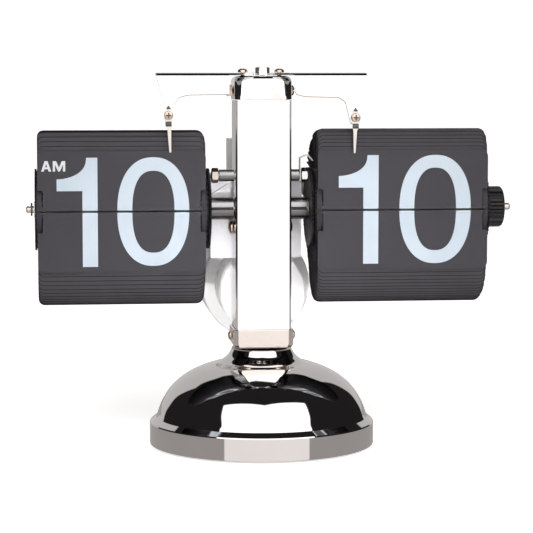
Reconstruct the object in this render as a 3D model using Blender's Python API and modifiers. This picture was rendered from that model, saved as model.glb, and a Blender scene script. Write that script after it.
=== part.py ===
"""Flip number clock: hour and minute drums of hinged leaves on one axle, a square column, a round foot.

Millimetres in the numbers, metres in the scene. +X to the right, +Y away from the viewer, +Z up.
The origin is the centre of the foot's underside, and the clock's face looks along -Y.
Spans are (low, high) pairs. A place on something that runs along X is given as (Y, Z).
"""

import math
from collections import namedtuple

import bmesh
import bpy
from mathutils import Matrix, Vector

MM = 0.001
SIDES = ((-1, "left"), (1, "right"))    # sign of X, word used in names

# ---- driving dimensions ----
AXLE_Z = 103.5
AXLE_AT = (0, AXLE_Z)
AXLE_R = 1.5
AXLE_BORE_R = AXLE_R + 0.3
AXLE_X = (-102.0, 110.3)
ROD_AT = (-4.0, 118.0)          # cross rod through the column
ROD_R = 1.4
ROD_BORE_R = ROD_R + 0.3

COLUMN_HALF_W = 12.1
COLUMN_HALF_D = 10.0
COLUMN_Z = (44.3, 150.4)
FOOT_SCREW_AT = (0, 47.8)
FOOT_SCREW_BORE_R = 1.15
HOUSING_SCREW_AT = (5.0, 95.0)
HOUSING_SCREW_BORE_R = 1.2

PIVOT_R = 15.6                  # circle of leaf roots
PIVOT_Y = -17.6                 # hinge line of the falling front leaf
LEAF_H = 25.8
LEAF_Y = (PIVOT_Y + 0.2, PIVOT_Y + 0.6)
PACK_LEAF_T = 0.2
HUB_R = 3.4

DRUM_TEETH = 60
PINION_TEETH = 12
DRUM_CENTRES = 20.4             # axle to each arbor
DRUM_MODULE = 2 * DRUM_CENTRES / (DRUM_TEETH + PINION_TEETH)
FINE_MODULE = 0.4
LAY_TEETH = 48
HOUR_TEETH = 50
MOTOR_GEAR_TEETH = 50
SMALL_TEETH = 10

BATTERY_AT = (2.0, 65.5)        # (X, Z) of the battery tube's axis
CASE_R = 19.1
SADDLE_R = CASE_R + 0.5         # cut in the housing that clears the battery case


# ======================= plane geometry =======================
def around(centre, r, angle):
    """The point at radius r from centre, at an angle in radians."""
    return (centre[0] + r * math.cos(angle), centre[1] + r * math.sin(angle))


def ring(r, steps=32, at=(0, 0), phase=0.0):
    return [around(at, r, phase + 2 * math.pi * i / steps) for i in range(steps)]


def arc(centre, r, start, end, steps):
    """Points from start to end, both in degrees."""
    return [around(centre, r, math.radians(start + (end - start) * i / steps)) for i in range(steps + 1)]


def toward(start, end):
    return math.atan2(end[1] - start[1], end[0] - start[0])


def circle_meet(first, first_r, second, second_r):
    """The point at first_r from first and second_r from second that lies further back."""
    dx, dy = second[0] - first[0], second[1] - first[1]
    gap = math.hypot(dx, dy)
    along = (gap * gap + first_r * first_r - second_r * second_r) / (2 * gap)
    off = math.sqrt(first_r * first_r - along * along)
    foot = (first[0] + dx / gap * along, first[1] + dy / gap * along)
    return max((foot[0] + s * off * dy / gap, foot[1] - s * off * dx / gap) for s in (1, -1))


def repeated_outline(count, shape, centre, phase=0.0):
    """A (radius, share of one pitch) shape repeated round a centre, the first at angle `phase`."""
    pitch = 2 * math.pi / count
    return [around(centre, r, phase + (i + share) * pitch) for i in range(count) for r, share in shape]


def gear_outline(teeth, module, centre, phase):
    """A straight-flanked spur gear. `phase` is the angle, in radians, of the middle of one tooth."""
    pitch_r = teeth * module / 2
    root, tip = pitch_r - 1.15 * module, pitch_r + 0.8 * module
    if teeth > 20:      # many teeth: plain V shapes
        shape = ((root, -0.5), (tip, 0.0))
    else:
        shape = ((root, -0.30), (tip, -0.11), (tip, 0.11), (root, 0.30))
    return repeated_outline(teeth, shape, centre, phase)


def gap_phase(teeth, centre, other):
    """The phase that turns a gap between teeth toward the other centre."""
    return toward(centre, other) + math.pi / teeth


def mirrored(side, near, far):
    """The X span between two distances from the middle, on the side given by its sign."""
    return sorted((side * near, side * far))


# ---- shaft places, from the gears that join them ----
MINUTE_ARBOR_AT = around(AXLE_AT, DRUM_CENTRES, math.radians(24))
HOUR_ARBOR_AT = around(AXLE_AT, DRUM_CENTRES, math.radians(-26))
LAYSHAFT_AT = circle_meet(
    MINUTE_ARBOR_AT, FINE_MODULE * (SMALL_TEETH + LAY_TEETH) / 2,
    HOUR_ARBOR_AT, FINE_MODULE * (SMALL_TEETH + HOUR_TEETH) / 2,
)
MOTOR_AT = around(
    MINUTE_ARBOR_AT, FINE_MODULE * (SMALL_TEETH + MOTOR_GEAR_TEETH) / 2, math.radians(60)
)

# Every field but name, leaves and arbor_at is an X span; wheels holds the outer one, then the inner.
Drum = namedtuple("Drum", "name leaves leaf_x wheels gear_x hub_x arbor_at")
HOUR = Drum(
    "hour", 48, (-97.0, -25.6), ((-98.2, -97.4), (-25.2, -24.4)),
    (-23.95, -23.05), (-98.6, -22.75), HOUR_ARBOR_AT,
)
MINUTE = Drum(
    "minute", 60, (22.6, 96.6), ((96.95, 97.75), (21.5, 22.3)),
    (20.25, 21.15), (20.1, 97.85), MINUTE_ARBOR_AT,
)

# ======================= scene and materials =======================
for old in list(bpy.data.objects):
    bpy.data.objects.remove(old)

clock = bpy.data.collections.new("flip_clock")
helpers = bpy.data.collections.new("cutters")
for collection in (clock, helpers):
    bpy.context.scene.collection.children.link(collection)


def material(name, colour, roughness, metallic=0.0):
    made = bpy.data.materials.new(name)
    made.use_nodes = True
    shader = made.node_tree.nodes["Principled BSDF"]
    shader.inputs["Base Color"].default_value = (*colour, 1)
    shader.inputs["Metallic"].default_value = metallic
    shader.inputs["Roughness"].default_value = roughness
    made.diffuse_color = (*colour, 1)
    return made


CHROME = material("chrome", (0.86, 0.86, 0.87), roughness=0.05, metallic=1.0)
BRIGHT = material("bright_steel", (0.82, 0.82, 0.83), roughness=0.12, metallic=1.0)
STEEL = material("steel", (0.55, 0.55, 0.56), roughness=0.3, metallic=1.0)
DARK_STEEL = material("dark_steel", (0.12, 0.12, 0.13), roughness=0.35, metallic=1.0)
BRASS = material("brass", (0.62, 0.42, 0.24), roughness=0.3, metallic=1.0)
LEAF = material("leaf_plastic", (0.085, 0.082, 0.09), roughness=0.45)
WHEEL = material("wheel_plastic", (0.03, 0.03, 0.032), roughness=0.4)
BLACK = material("black_plastic", (0.012, 0.012, 0.013), roughness=0.35)
SILVER = material("silver_plastic", (0.42, 0.43, 0.44), roughness=0.4, metallic=0.2)
WHITE = material("white_plastic", (0.75, 0.75, 0.74), roughness=0.4)
GEARS = material("gear_plastic", (0.8, 0.78, 0.7), roughness=0.4)
RUBBER = material("pad_rubber", (0.02, 0.02, 0.02), roughness=0.9)
CAST = material("cast_iron", (0.2, 0.2, 0.2), roughness=0.6, metallic=0.6)
CELL = material("cell_jacket", (0.05, 0.12, 0.3), roughness=0.35, metallic=0.2)


# ======================= mesh builders =======================
def helper(name, data):
    obj = bpy.data.objects.new(name, data)
    helpers.objects.link(obj)
    obj.hide_render = True
    return obj


def bake(obj):
    """Removes a helper and returns its mesh with the modifiers applied."""
    bpy.context.view_layer.update()
    graph = bpy.context.evaluated_depsgraph_get()
    mesh = bpy.data.meshes.new_from_object(obj.evaluated_get(graph))
    bpy.data.objects.remove(obj)
    return mesh


def tidy(mesh, weld=1e-4):
    work = bmesh.new()
    work.from_mesh(mesh)
    bmesh.ops.remove_doubles(work, verts=work.verts, dist=weld)
    bmesh.ops.recalc_face_normals(work, faces=work.faces)
    work.to_mesh(mesh)
    work.free()


def empty(name, at):
    mark = bpy.data.objects.new(name, None)
    mark.empty_display_size = 0.01
    mark.location = [c * MM for c in at]
    clock.objects.link(mark)
    return mark


def add_piece(name, mesh, mat, parent=None):
    """An object in metres from a mesh in millimetres. Its origin is its parent's, or the clock's."""
    origin = parent.location.copy() if parent else Vector((0, 0, 0))
    mesh.transform(Matrix.Translation(-origin) @ Matrix.Scale(MM, 4))
    mesh.materials.clear()
    mesh.materials.append(mat)
    obj = bpy.data.objects.new(name, mesh)
    obj.location = origin
    clock.objects.link(obj)
    mesh.shade_smooth()
    mesh.set_sharp_from_angle(angle=math.radians(32))
    if parent:
        bpy.context.view_layer.update()
        obj.parent = parent
        obj.matrix_parent_inverse = parent.matrix_world.inverted()


# Turns an outline's own X and Y into (Y, Z), (X, Z) or (X, Y), square to the named axis.
PLATE_TURN = {
    "X": Matrix(((0, 0, 1, 0), (1, 0, 0, 0), (0, 1, 0, 0), (0, 0, 0, 1))),
    "Y": Matrix(((1, 0, 0, 0), (0, 0, -1, 0), (0, 1, 0, 0), (0, 0, 0, 1))),
    "Z": Matrix.Identity(4),
}
# Turns a round part's own Z into the named axis.
ROUND_TURN = {
    "X": Matrix.Rotation(math.pi / 2, 4, "Y"),
    "Y": Matrix.Rotation(-math.pi / 2, 4, "X"),
    "Z": Matrix.Identity(4),
}


def shift(axis, along, at=(0, 0)):
    """Moves `along` the axis. `at` holds the other two coordinates, in X, Y, Z order."""
    place = list(at)
    place.insert("XYZ".index(axis), along)
    return Matrix.Translation(place)


def from_operator(matrix):
    """Takes the mesh of the primitive just added, and removes its object."""
    obj = bpy.context.object
    mesh = obj.data.copy()
    bpy.data.objects.remove(obj)
    mesh.transform(matrix)
    return mesh


def box(*spans):
    """A box from its X, Y and Z spans."""
    bpy.ops.mesh.primitive_cube_add(size=1)
    size = Matrix.Diagonal([hi - lo for lo, hi in spans] + [1])
    return from_operator(Matrix.Translation([(lo + hi) / 2 for lo, hi in spans]) @ size)


def rod(axis, r, lo, hi, at=(0, 0), steps=12, taper=1.0):
    """A cylinder along an axis. `taper` scales its radius at the high end."""
    bpy.ops.mesh.primitive_cone_add(vertices=steps, radius1=r, radius2=r * taper, depth=hi - lo)
    return from_operator(shift(axis, (lo + hi) / 2, at) @ ROUND_TURN[axis])


def turned(axis, profile, at=(0, 0), steps=32):
    """A closed profile of (radius, place along the axis) turned about the axis."""
    mesh = bpy.data.meshes.new("profile")
    count = len(profile)
    edges = [(i, (i + 1) % count) for i in range(count)]
    mesh.from_pydata([(r, 0, h) for r, h in profile], edges, [])
    obj = helper("profile", mesh)
    screw = obj.modifiers.new("turn", "SCREW")
    screw.steps = screw.render_steps = steps
    screw.use_merge_vertices = True
    screw.merge_threshold = 1e-4
    made = bake(obj)
    made.transform(shift(axis, 0, at) @ ROUND_TURN[axis])
    tidy(made)
    return made


def plate(axis, loops, lo, hi):
    """Flat outlines extruded along an axis: in (Y, Z) for X, (X, Z) for Y, (X, Y) for Z."""
    data = bpy.data.curves.new("outline", "CURVE")
    data.dimensions = "2D"
    data.fill_mode = "BOTH"
    data.extrude = (hi - lo) / 2
    for loop in loops:
        spline = data.splines.new("POLY")
        spline.points.add(len(loop) - 1)
        for point, place in zip(spline.points, loop):
            point.co = (*place, 0, 1)
        spline.use_cyclic_u = True
    made = bake(helper("outline", data))
    made.transform(shift(axis, (lo + hi) / 2) @ PLATE_TURN[axis])
    tidy(made)
    return made


def combine(mesh, others, operation):
    """Applies the other meshes to the first, one Boolean at a time."""
    for other in others:
        work, tool = helper("work", mesh), helper("cutter", other)
        change = work.modifiers.new("bool", "BOOLEAN")
        change.operation = operation
        change.solver = "EXACT"
        change.object = tool
        mesh = bake(work)
        bpy.data.objects.remove(tool)
        tidy(mesh, 1e-5)
    return mesh


def cut(mesh, *others):
    return combine(mesh, others, "DIFFERENCE")


def join(mesh, *others):
    return combine(mesh, others, "UNION")


def screw_mesh(axis, at, shank_r, shank, head_r, head, head_steps=16, taper=1.0):
    """A shank and a head, each with its span along the axis."""
    return join(
        rod(axis, shank_r, *shank, at=at),
        rod(axis, head_r, *head, at=at, steps=head_steps, taper=taper),
    )


def bore_x(r, at, steps=12):
    """A cutter that passes through both sides of the column and its fittings."""
    return rod("X", r, -20, 20, at=at, steps=steps)


# ======================= foot =======================
NECK_R = 13.2
BASE_R = 49.1
BASE_TOP_Z = 42.4
NUT_R = 5.2

# (radius, Z)
DOME_OUTER = [
    (NECK_R, BASE_TOP_Z), (13.5, 41.2), (15.9, 38.1), (18.6, 36.2), (23.0, 35.0), (28.6, 32.9),
    (34.5, 29.6), (40.0, 24.6), (43.9, 18.6), (45.8, 13.6), (47.5, 11.9), (48.9, 10.6),
    (BASE_R, 9.8), (BASE_R, 0.5),
]
DOME_INNER = [
    (47.6, 0.5), (47.6, 9.4), (41.6, 18.4), (32.0, 28.0), (22.4, 32.4), (12.6, 34.6),
    (11.4, 36.0), (11.4, 40.2), (3.4, 40.2), (3.4, BASE_TOP_Z),
]
WEIGHT = [(4.0, 10.6), (42.0, 10.6), (43.4, 9.2), (43.4, 1.6), (4.0, 1.6)]

add_piece("base_dome", turned("Z", DOME_OUTER + DOME_INNER, steps=40), CHROME)
add_piece("base_weight", turned("Z", WEIGHT, steps=28), CAST)
add_piece("base_foot_pad", rod("Z", 46.2, 0.0, 1.2, steps=36), RUBBER)

base_bolt = join(rod("Z", 3.0, 37.5, 51.0, steps=16), rod("Z", NUT_R, 36.2, 39.8, steps=6))
add_piece("base_bolt", base_bolt, STEEL)
base_nut = cut(rod("Z", NUT_R, COLUMN_Z[0] + 0.1, 48.2, steps=6), rod("Z", 3.3, 43, 50, steps=16))
add_piece("base_nut", base_nut, STEEL)

# Tray that takes the column's lower end: rounded front corners, chamfered back ones.
BRACKET_Z = (42.7, 51.3)
BRACKET_HALF_W, BRACKET_HALF_D = 13.1, 11.1
BRACKET_CORNER_R = 2.2
BRACKET_CHAMFER = 1.6
BRACKET_FIT = 0.25      # gap round the column

corner_x, corner_y = BRACKET_HALF_W - BRACKET_CORNER_R, -BRACKET_HALF_D + BRACKET_CORNER_R
chamfer_x, chamfer_y = BRACKET_HALF_W - BRACKET_CHAMFER, BRACKET_HALF_D - BRACKET_CHAMFER
bracket_plan = [
    (-chamfer_x, BRACKET_HALF_D), (-BRACKET_HALF_W, chamfer_y),
    *arc((-corner_x, corner_y), BRACKET_CORNER_R, 180, 270, 4),
    *arc((corner_x, corner_y), BRACKET_CORNER_R, 270, 360, 4),
    (BRACKET_HALF_W, chamfer_y), (chamfer_x, BRACKET_HALF_D),
]
pocket_w, pocket_d = COLUMN_HALF_W + BRACKET_FIT, COLUMN_HALF_D + BRACKET_FIT
foot_bracket = cut(
    plate("Z", [bracket_plan], *BRACKET_Z),
    box((-pocket_w, pocket_w), (-pocket_d, pocket_d), (43.9, 60)),
    rod("Z", 3.4, 40, 46, steps=16),
    bore_x(FOOT_SCREW_BORE_R, FOOT_SCREW_AT),
)
add_piece("foot_bracket", foot_bracket, BRIGHT)

# ======================= column =======================
# A channel, open at the back, with rounded front corners.
COLUMN_WALL = 1.2
COLUMN_CORNER_R = 1.4
COLUMN_FIT = 0.35       # gap round the axle and the cross rod

half_w, half_d = COLUMN_HALF_W, COLUMN_HALF_D
inner_w, inner_front = half_w - COLUMN_WALL, -half_d + COLUMN_WALL
corner_x, corner_y = half_w - COLUMN_CORNER_R, -half_d + COLUMN_CORNER_R
column_plan = [
    *arc((-corner_x, corner_y), COLUMN_CORNER_R, 180, 270, 4),
    *arc((corner_x, corner_y), COLUMN_CORNER_R, 270, 360, 4),
    (half_w, half_d), (inner_w, half_d), (inner_w, inner_front),
    (-inner_w, inner_front), (-inner_w, half_d), (-half_w, half_d),
]
column_channel = cut(
    plate("Z", [column_plan], *COLUMN_Z),
    bore_x(AXLE_R + COLUMN_FIT, AXLE_AT, steps=16),
    bore_x(ROD_R + COLUMN_FIT, ROD_AT, steps=16),
    bore_x(HOUSING_SCREW_BORE_R, HOUSING_SCREW_AT),
    bore_x(FOOT_SCREW_BORE_R, FOOT_SCREW_AT),
)
add_piece("column_channel", column_channel, CHROME)

for side, word in SIDES:
    foot_screw = screw_mesh(
        "X", FOOT_SCREW_AT, 0.85, mirrored(side, 9.0, 13.8), 2.0, mirrored(side, 13.4, 14.8)
    )
    add_piece("foot_screw_" + word, foot_screw, STEEL)
    housing_screw = screw_mesh(
        "X", HOUSING_SCREW_AT, 0.9, mirrored(side, 9.2, 12.8), 3.0, mirrored(side, 12.4, 14.2)
    )
    add_piece("housing_screw_" + word, housing_screw, STEEL)

# ======================= cap =======================
CAP_HALF_W = 12.5
CAP_HALF_D = 10.4
CAP_BOTTOM_Z, CAP_TOP_Z = 150.7, 160.9
CAP_WALL = 1.2
CAP_ROOF = 1.4
CAP_CORNER_R = 3
CAP_BOLT_AT = (0, 154.6)
CAP_SCREW_LOW_Z = 156.4
CAP_BORE_Z = (155, 170)
LEFT_CAP_SCREW = (-8.5, -3)     # (X, Y)
RIGHT_CAP_SCREW = (7.4, -3)
# word, (X, Y), hole radius, underside of head, head radius, head height, shank radius, head sides
CAP_SCREWS = (
    ("left", LEFT_CAP_SCREW, 1.25, 162.4, 2.1, 1.7, 0.9, 16, STEEL),
    ("middle", (0.2, -2), 1.6, 161.2, 3.1, 3.5, 1.25, 6, BRIGHT),
    ("right", RIGHT_CAP_SCREW, 1.25, 162.4, 2.1, 1.7, 0.9, 16, STEEL),
)

corner_x, corner_z = CAP_HALF_W - CAP_CORNER_R, CAP_TOP_Z - CAP_CORNER_R
cap_outline = [
    (-CAP_HALF_W, CAP_BOTTOM_Z), (CAP_HALF_W, CAP_BOTTOM_Z),
    *arc((corner_x, corner_z), CAP_CORNER_R, 0, 90, 6),
    *arc((-corner_x, corner_z), CAP_CORNER_R, 90, 180, 6),
]
inner_w, inner_d = CAP_HALF_W - CAP_WALL, CAP_HALF_D - CAP_WALL
top_cap = cut(
    plate("Y", [cap_outline], -CAP_HALF_D, CAP_HALF_D),
    box((-inner_w, inner_w), (-inner_d, inner_d), (CAP_BOTTOM_Z - 1, CAP_TOP_Z - CAP_ROOF)),
    bore_x(1.45, CAP_BOLT_AT),
    *(rod("Z", hole_r, *CAP_BORE_Z, at=at) for word, at, hole_r, *rest in CAP_SCREWS),
)
add_piece("top_cap", top_cap, CHROME)

cap_bolt = screw_mesh("X", CAP_BOLT_AT, 1.1, (-15.6, 13.2), 2.3, (12.8, 14.4))
add_piece("cap_cross_bolt", cap_bolt, STEEL)
cap_nut = cut(
    rod("X", 2.9, -15.2, -12.8, at=CAP_BOLT_AT, steps=6), rod("X", 1.4, -17, -11, at=CAP_BOLT_AT)
)
add_piece("cap_nut", cap_nut, STEEL)

for word, at, hole_r, head_z, head_r, head_h, shank_r, sides, mat in CAP_SCREWS:
    shank, head = (CAP_SCREW_LOW_Z, head_z + 0.5), (head_z, head_z + head_h)
    cap_screw = screw_mesh("Z", at, shank_r, shank, head_r, head, head_steps=sides, taper=0.86)
    add_piece("cap_screw_" + word, cap_screw, mat)

# ======================= arms and fingers =======================
ARM_Y = (-17.2, -16.0)
ARM_TOP_Z = 162.2
FLANGE_Z = (161.2, ARM_TOP_Z - 0.001)   # stops just short, so that the top faces don't coincide
FINGER_Y = (-17.9, -17.5)
FINGER_BORE_Y = (-25, -10)
HOUR_FINGER_AT = (-41.4, 144.2)         # (X, Z) of the finger's screw
MINUTE_FINGER_AT = (38.7, 143.1)

# (X, Z), seen from the front
LEFT_ARM = [
    (-46.6, ARM_TOP_Z), (-46.4, 160.8), (-43.2, 148.5), (-43.0, 141.9), (-42.4, 141.2),
    (-40.4, 141.2), (-39.6, 141.9), (-38.6, 148.2), (-36.6, 151.0), (-33.6, 152.3),
    (-15.5, 152.9), (-15.5, ARM_TOP_Z),
]
RIGHT_ARM = [
    (12.8, ARM_TOP_Z), (12.8, 153.8), (14.2, 152.3), (31.1, 151.6), (33.8, 150.2), (35.6, 146.8),
    (36.7, 140.9), (37.4, 140.2), (39.6, 140.2), (40.4, 140.9), (41.8, 146.5), (43.4, 160.8),
    (43.6, ARM_TOP_Z),
]
# (X, Y) of the flange that runs back over the cap
LEFT_FLANGE = [
    (-46.6, -17.2), (-12.9, -17.2), (-4.3, -10.2), (-4.3, 7.5), (-14, 7.5), (-46.6, -9.5),
]
RIGHT_FLANGE = [
    (43.6, -17.2), (43.6, -9.5), (14, 7.5), (4.0, 7.5), (4.0, -10.2), (12.8, -17.2),
]


def build_arm(name, outline, flange, cap_screw_at, finger_at):
    arm = cut(
        join(plate("Y", [outline], *ARM_Y), plate("Z", [flange], *FLANGE_Z)),
        rod("Z", 1.2, *CAP_BORE_Z, at=cap_screw_at),
        rod("Y", 1.15, *FINGER_BORE_Y, at=finger_at),
    )
    add_piece(name, arm, BRIGHT)


def build_finger(name, at, tip_z, tip_dx):
    """A finger that tapers down to its tip, and its cross-slotted screw."""
    x, z = at
    bend_x, bend_z, tip_x = x + tip_dx * 0.4, z - 5.8, x + tip_dx
    outline = [
        (x - 1.5, z - 4.6), (bend_x - 1.0, bend_z), (tip_x - 0.55, tip_z), (tip_x + 0.55, tip_z),
        (bend_x + 1.0, bend_z), (x + 1.5, z - 4.6), (x + 1.7, z), (x + 1.5, z + 2.4),
        (x, z + 4.2), (x - 1.5, z + 2.4), (x - 1.7, z),
    ]
    blade = cut(plate("Y", [outline], *FINGER_Y), rod("Y", 1.1, *FINGER_BORE_Y, at=at))
    add_piece(name, blade, BRIGHT)
    slots = [
        box((x - half_x, x + half_x), (-20, -19.1), (z - half_z, z + half_z))
        for half_x, half_z in ((1.3, 0.28), (0.28, 1.3))
    ]
    screw = screw_mesh("Y", at, 0.8, (-18.6, -14.4), 1.8, (-19.6, -18.2))
    add_piece(name + "_screw", cut(screw, *slots), BRASS)


build_arm("left_arm", LEFT_ARM, LEFT_FLANGE, LEFT_CAP_SCREW, HOUR_FINGER_AT)
build_arm("right_arm", RIGHT_ARM, RIGHT_FLANGE, RIGHT_CAP_SCREW, MINUTE_FINGER_AT)
build_finger("hour_finger", HOUR_FINGER_AT, tip_z=128.5, tip_dx=0.7)
build_finger("minute_finger", MINUTE_FINGER_AT, tip_z=127.9, tip_dx=-0.4)

# ======================= axle, sleeves, cross rod =======================
axle_lo, axle_hi = AXLE_X
axle_profile = [
    (0, axle_lo), (0.9, axle_lo), (AXLE_R, axle_lo + 0.7),
    (AXLE_R, axle_hi - 0.9), (0.8, axle_hi), (0, axle_hi),
]
add_piece("main_axle", turned("X", axle_profile, at=AXLE_AT, steps=16), STEEL)

# Clip with a gap at the bottom.
axle_clip = cut(
    rod("X", 2.9, -100.0, -99.3, at=AXLE_AT, steps=16),
    rod("X", AXLE_R + 0.2, -102, -98, at=AXLE_AT, steps=16),
    box((-102, -98), (-1.0, 1.0), (AXLE_Z - 5, AXLE_Z)),
)
add_piece("axle_clip", axle_clip, DARK_STEEL)

# Tubes with a slot along the front.
axle_bore = ring(AXLE_BORE_R, 12, AXLE_AT)
for name, lo, hi in (("left_sleeve", -22.4, -12.4), ("right_sleeve", 12.4, 19.8)):
    tube = plate("X", [ring(4.9, 20, AXLE_AT), axle_bore], lo, hi)
    slot = box((lo - 1, hi + 1), (-8, -1.0), (AXLE_Z - 0.45, AXLE_Z + 0.45))
    add_piece(name, cut(tube, slot), BRIGHT)

add_piece("cross_rod", rod("X", ROD_R, -22.6, 19.9, at=ROD_AT, steps=16), STEEL)
rod_bore = ring(ROD_BORE_R, 12, ROD_AT)
tube_rim = ring(2.6, 16, ROD_AT)
nut_rim = ring(3.3, 6, ROD_AT, math.pi / 2)
for name, rim, lo, hi, mat in (
    ("left_rod_tube", tube_rim, -18.9, -12.4, BRIGHT),
    ("right_rod_tube", tube_rim, 12.4, 15.8, BRIGHT),
    ("left_rod_nut", nut_rim, -22.2, -19.2, STEEL),
    ("right_rod_nut", nut_rim, 16.8, 19.6, STEEL),
):
    add_piece(name, plate("X", [rim, rod_bore], lo, hi), mat)

# Bent strip on the right end of the cross rod, as (X, Z).
DETENT_SPRING = [
    (16.1, 115.2), (16.5, 115.2), (16.5, 125.3), (19.4, 126.6),
    (21.9, 124.0), (22.2, 124.3), (19.6, 127.2), (16.1, 125.7),
]
detent_spring = cut(
    plate("Y", [DETENT_SPRING], -6.4, -1.6), rod("X", ROD_BORE_R, 15, 18, at=ROD_AT)
)
add_piece("detent_spring", detent_spring, STEEL)

# ======================= leaves =======================
NOTCH_W = 2.3           # cut-out beside the hinge
NOTCH_H = 9.0
NOTCH_CHAMFER = 0.5
TAB_INSET = 0.3
TAB_Z = (0.35, 1.1)     # hinge tabs, above or below the axle
LEFT_CORNER_R, RIGHT_CORNER_R = 2.4, 3.0


def leaf_outline(x_span, up):
    """The front view of one leaf, with its hinge tabs, side cut-outs and rounded outer corners."""
    lo, hi = x_span
    tab_lo, tab_hi = TAB_Z
    bevel_z = NOTCH_H - NOTCH_CHAMFER
    points = [
        (lo + TAB_INSET, tab_lo), (hi - TAB_INSET, tab_lo), (hi - TAB_INSET, tab_hi),
        (hi - NOTCH_W, tab_hi), (hi - NOTCH_W, bevel_z), (hi - NOTCH_W + NOTCH_CHAMFER, NOTCH_H),
        (hi, NOTCH_H),
        *arc((hi - RIGHT_CORNER_R, LEAF_H - RIGHT_CORNER_R), RIGHT_CORNER_R, 0, 90, 4),
        *arc((lo + LEFT_CORNER_R, LEAF_H - LEFT_CORNER_R), LEFT_CORNER_R, 90, 180, 4),
        (lo, NOTCH_H), (lo + NOTCH_W - NOTCH_CHAMFER, NOTCH_H), (lo + NOTCH_W, bevel_z),
        (lo + NOTCH_W, tab_hi), (lo + TAB_INSET, tab_hi),
    ]
    if up:
        return [(x, AXLE_Z + z) for x, z in points]
    return [(x, AXLE_Z - z) for x, z in reversed(points)]


# (angle of a leaf's root round the drum, direction the leaf points), both in degrees:
# 0 front, 90 top, 180 back, 270 bottom.
LEAN = (
    (0, 90), (26, 90), (31, 94), (38, 108), (46, 119),
    (54, 136), (60, 142), (180, 262), (190, 270), (360, 270),
)


def lean(root_angle):
    for (angle, start), (next_angle, end) in zip(LEAN, LEAN[1:]):
        if root_angle <= next_angle:
            return start + (end - start) * (root_angle - angle) / (next_angle - angle)


def pack_outline(count):
    """Section across the waiting and fallen leaves: thin blades on a root ring, none at the front."""
    points = []
    for i in range(1, count):
        root_angle = i * 360 / count
        turn = math.radians(root_angle)
        tilt = math.radians(lean(root_angle))
        root_y, root_z = -PIVOT_R * math.cos(turn), AXLE_Z + PIVOT_R * math.sin(turn)
        way_y, way_z = -math.cos(tilt), math.sin(tilt)
        # Going round by growing angle, the blade's first side faces the smaller angles.
        for half, reaches in ((1, (0, LEAF_H)), (-1, (LEAF_H, 0))):
            offset = half * PACK_LEAF_T / 2
            points += [
                (root_y - way_z * offset + way_y * reach, root_z + way_y * offset + way_z * reach)
                for reach in reaches
            ]
    return points


def build_leaves(drum):
    hinge_at = (sum(drum.leaf_x) / 2, PIVOT_Y, AXLE_Z)
    hinge = empty(drum.name + "_leaf_hinge", hinge_at)
    upper = plate("Y", [leaf_outline(drum.leaf_x, True)], *LEAF_Y)
    add_piece(drum.name + "_leaf_upper", upper, LEAF, hinge)
    lower = plate("Y", [leaf_outline(drum.leaf_x, False)], *LEAF_Y)
    add_piece(drum.name + "_leaf_lower", lower, LEAF)
    loops = [pack_outline(drum.leaves), ring(PIVOT_R - 1.3, 32, AXLE_AT)]
    add_piece(drum.name + "_leaf_pack", plate("X", loops, *drum.leaf_x), LEAF)


build_leaves(HOUR)
build_leaves(MINUTE)

# ======================= drums =======================
WHEEL_R = 17.6
WHEEL_NOTCH = 1.2       # depth of the V notch for each leaf


def build_drum(drum):
    """The wheels, gear wheel and hub that turn together. Returns the empty they hang on."""
    spin = empty(drum.name + "_drum_axis", (0, *AXLE_AT))
    hub_seat = ring(HUB_R + 0.15, 20, AXLE_AT)
    rim = repeated_outline(drum.leaves, ((WHEEL_R - WHEEL_NOTCH, 0.0), (WHEEL_R, 0.5)), AXLE_AT)
    for word, span in zip(("outer", "inner"), drum.wheels):
        add_piece(f"{drum.name}_wheel_{word}", plate("X", [rim, hub_seat], *span), WHEEL, spin)
    teeth = gear_outline(DRUM_TEETH, DRUM_MODULE, AXLE_AT, toward(AXLE_AT, drum.arbor_at))
    gear = plate("X", [teeth, hub_seat], *drum.gear_x)
    add_piece(drum.name + "_gear_wheel", gear, WHEEL, spin)
    hub = plate("X", [ring(HUB_R, 20, AXLE_AT), axle_bore], *drum.hub_x)
    add_piece(drum.name + "_hub", hub, GEARS, spin)
    return spin


build_drum(HOUR)
minute_spin = build_drum(MINUTE)

# Fluted knob on the right end of the axle.
FLUTES = 16
FLUTE_SHAPE = ((8.8, -0.32), (8.95, 0.0), (8.8, 0.32), (8.15, 0.5))     # radius, share of a pitch
KNOB_ENVELOPE = [(0, 99.0), (12, 99.0), (12, 104.9), (7.6, 107.0), (0, 107.0)]  # radius, X

grip = plate("X", [repeated_outline(FLUTES, FLUTE_SHAPE, AXLE_AT)], 99.4, 106.4)
grip = combine(grip, [turned("X", KNOB_ENVELOPE, at=AXLE_AT)], "INTERSECT")
collar = rod("X", 9.2, 98.1, 99.7, at=AXLE_AT, steps=32)
knob = cut(join(grip, collar), rod("X", AXLE_BORE_R, 90, 120, at=AXLE_AT, steps=16))
add_piece("setting_knob", knob, BLACK, minute_spin)

# ======================= gear train =======================
ARBOR_R = 1.0


def build_arbor(name, at, shaft, gears):
    """A shaft with its gears, each given as teeth, module, phase, low X and high X."""
    mesh = rod("X", ARBOR_R, *shaft, at=at, steps=16)
    for teeth, module, phase, lo, hi in gears:
        mesh = join(mesh, plate("X", [gear_outline(teeth, module, at, phase)], lo, hi))
    add_piece(name, mesh, GEARS, empty(name + "_axis", (0, *at)))


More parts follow.
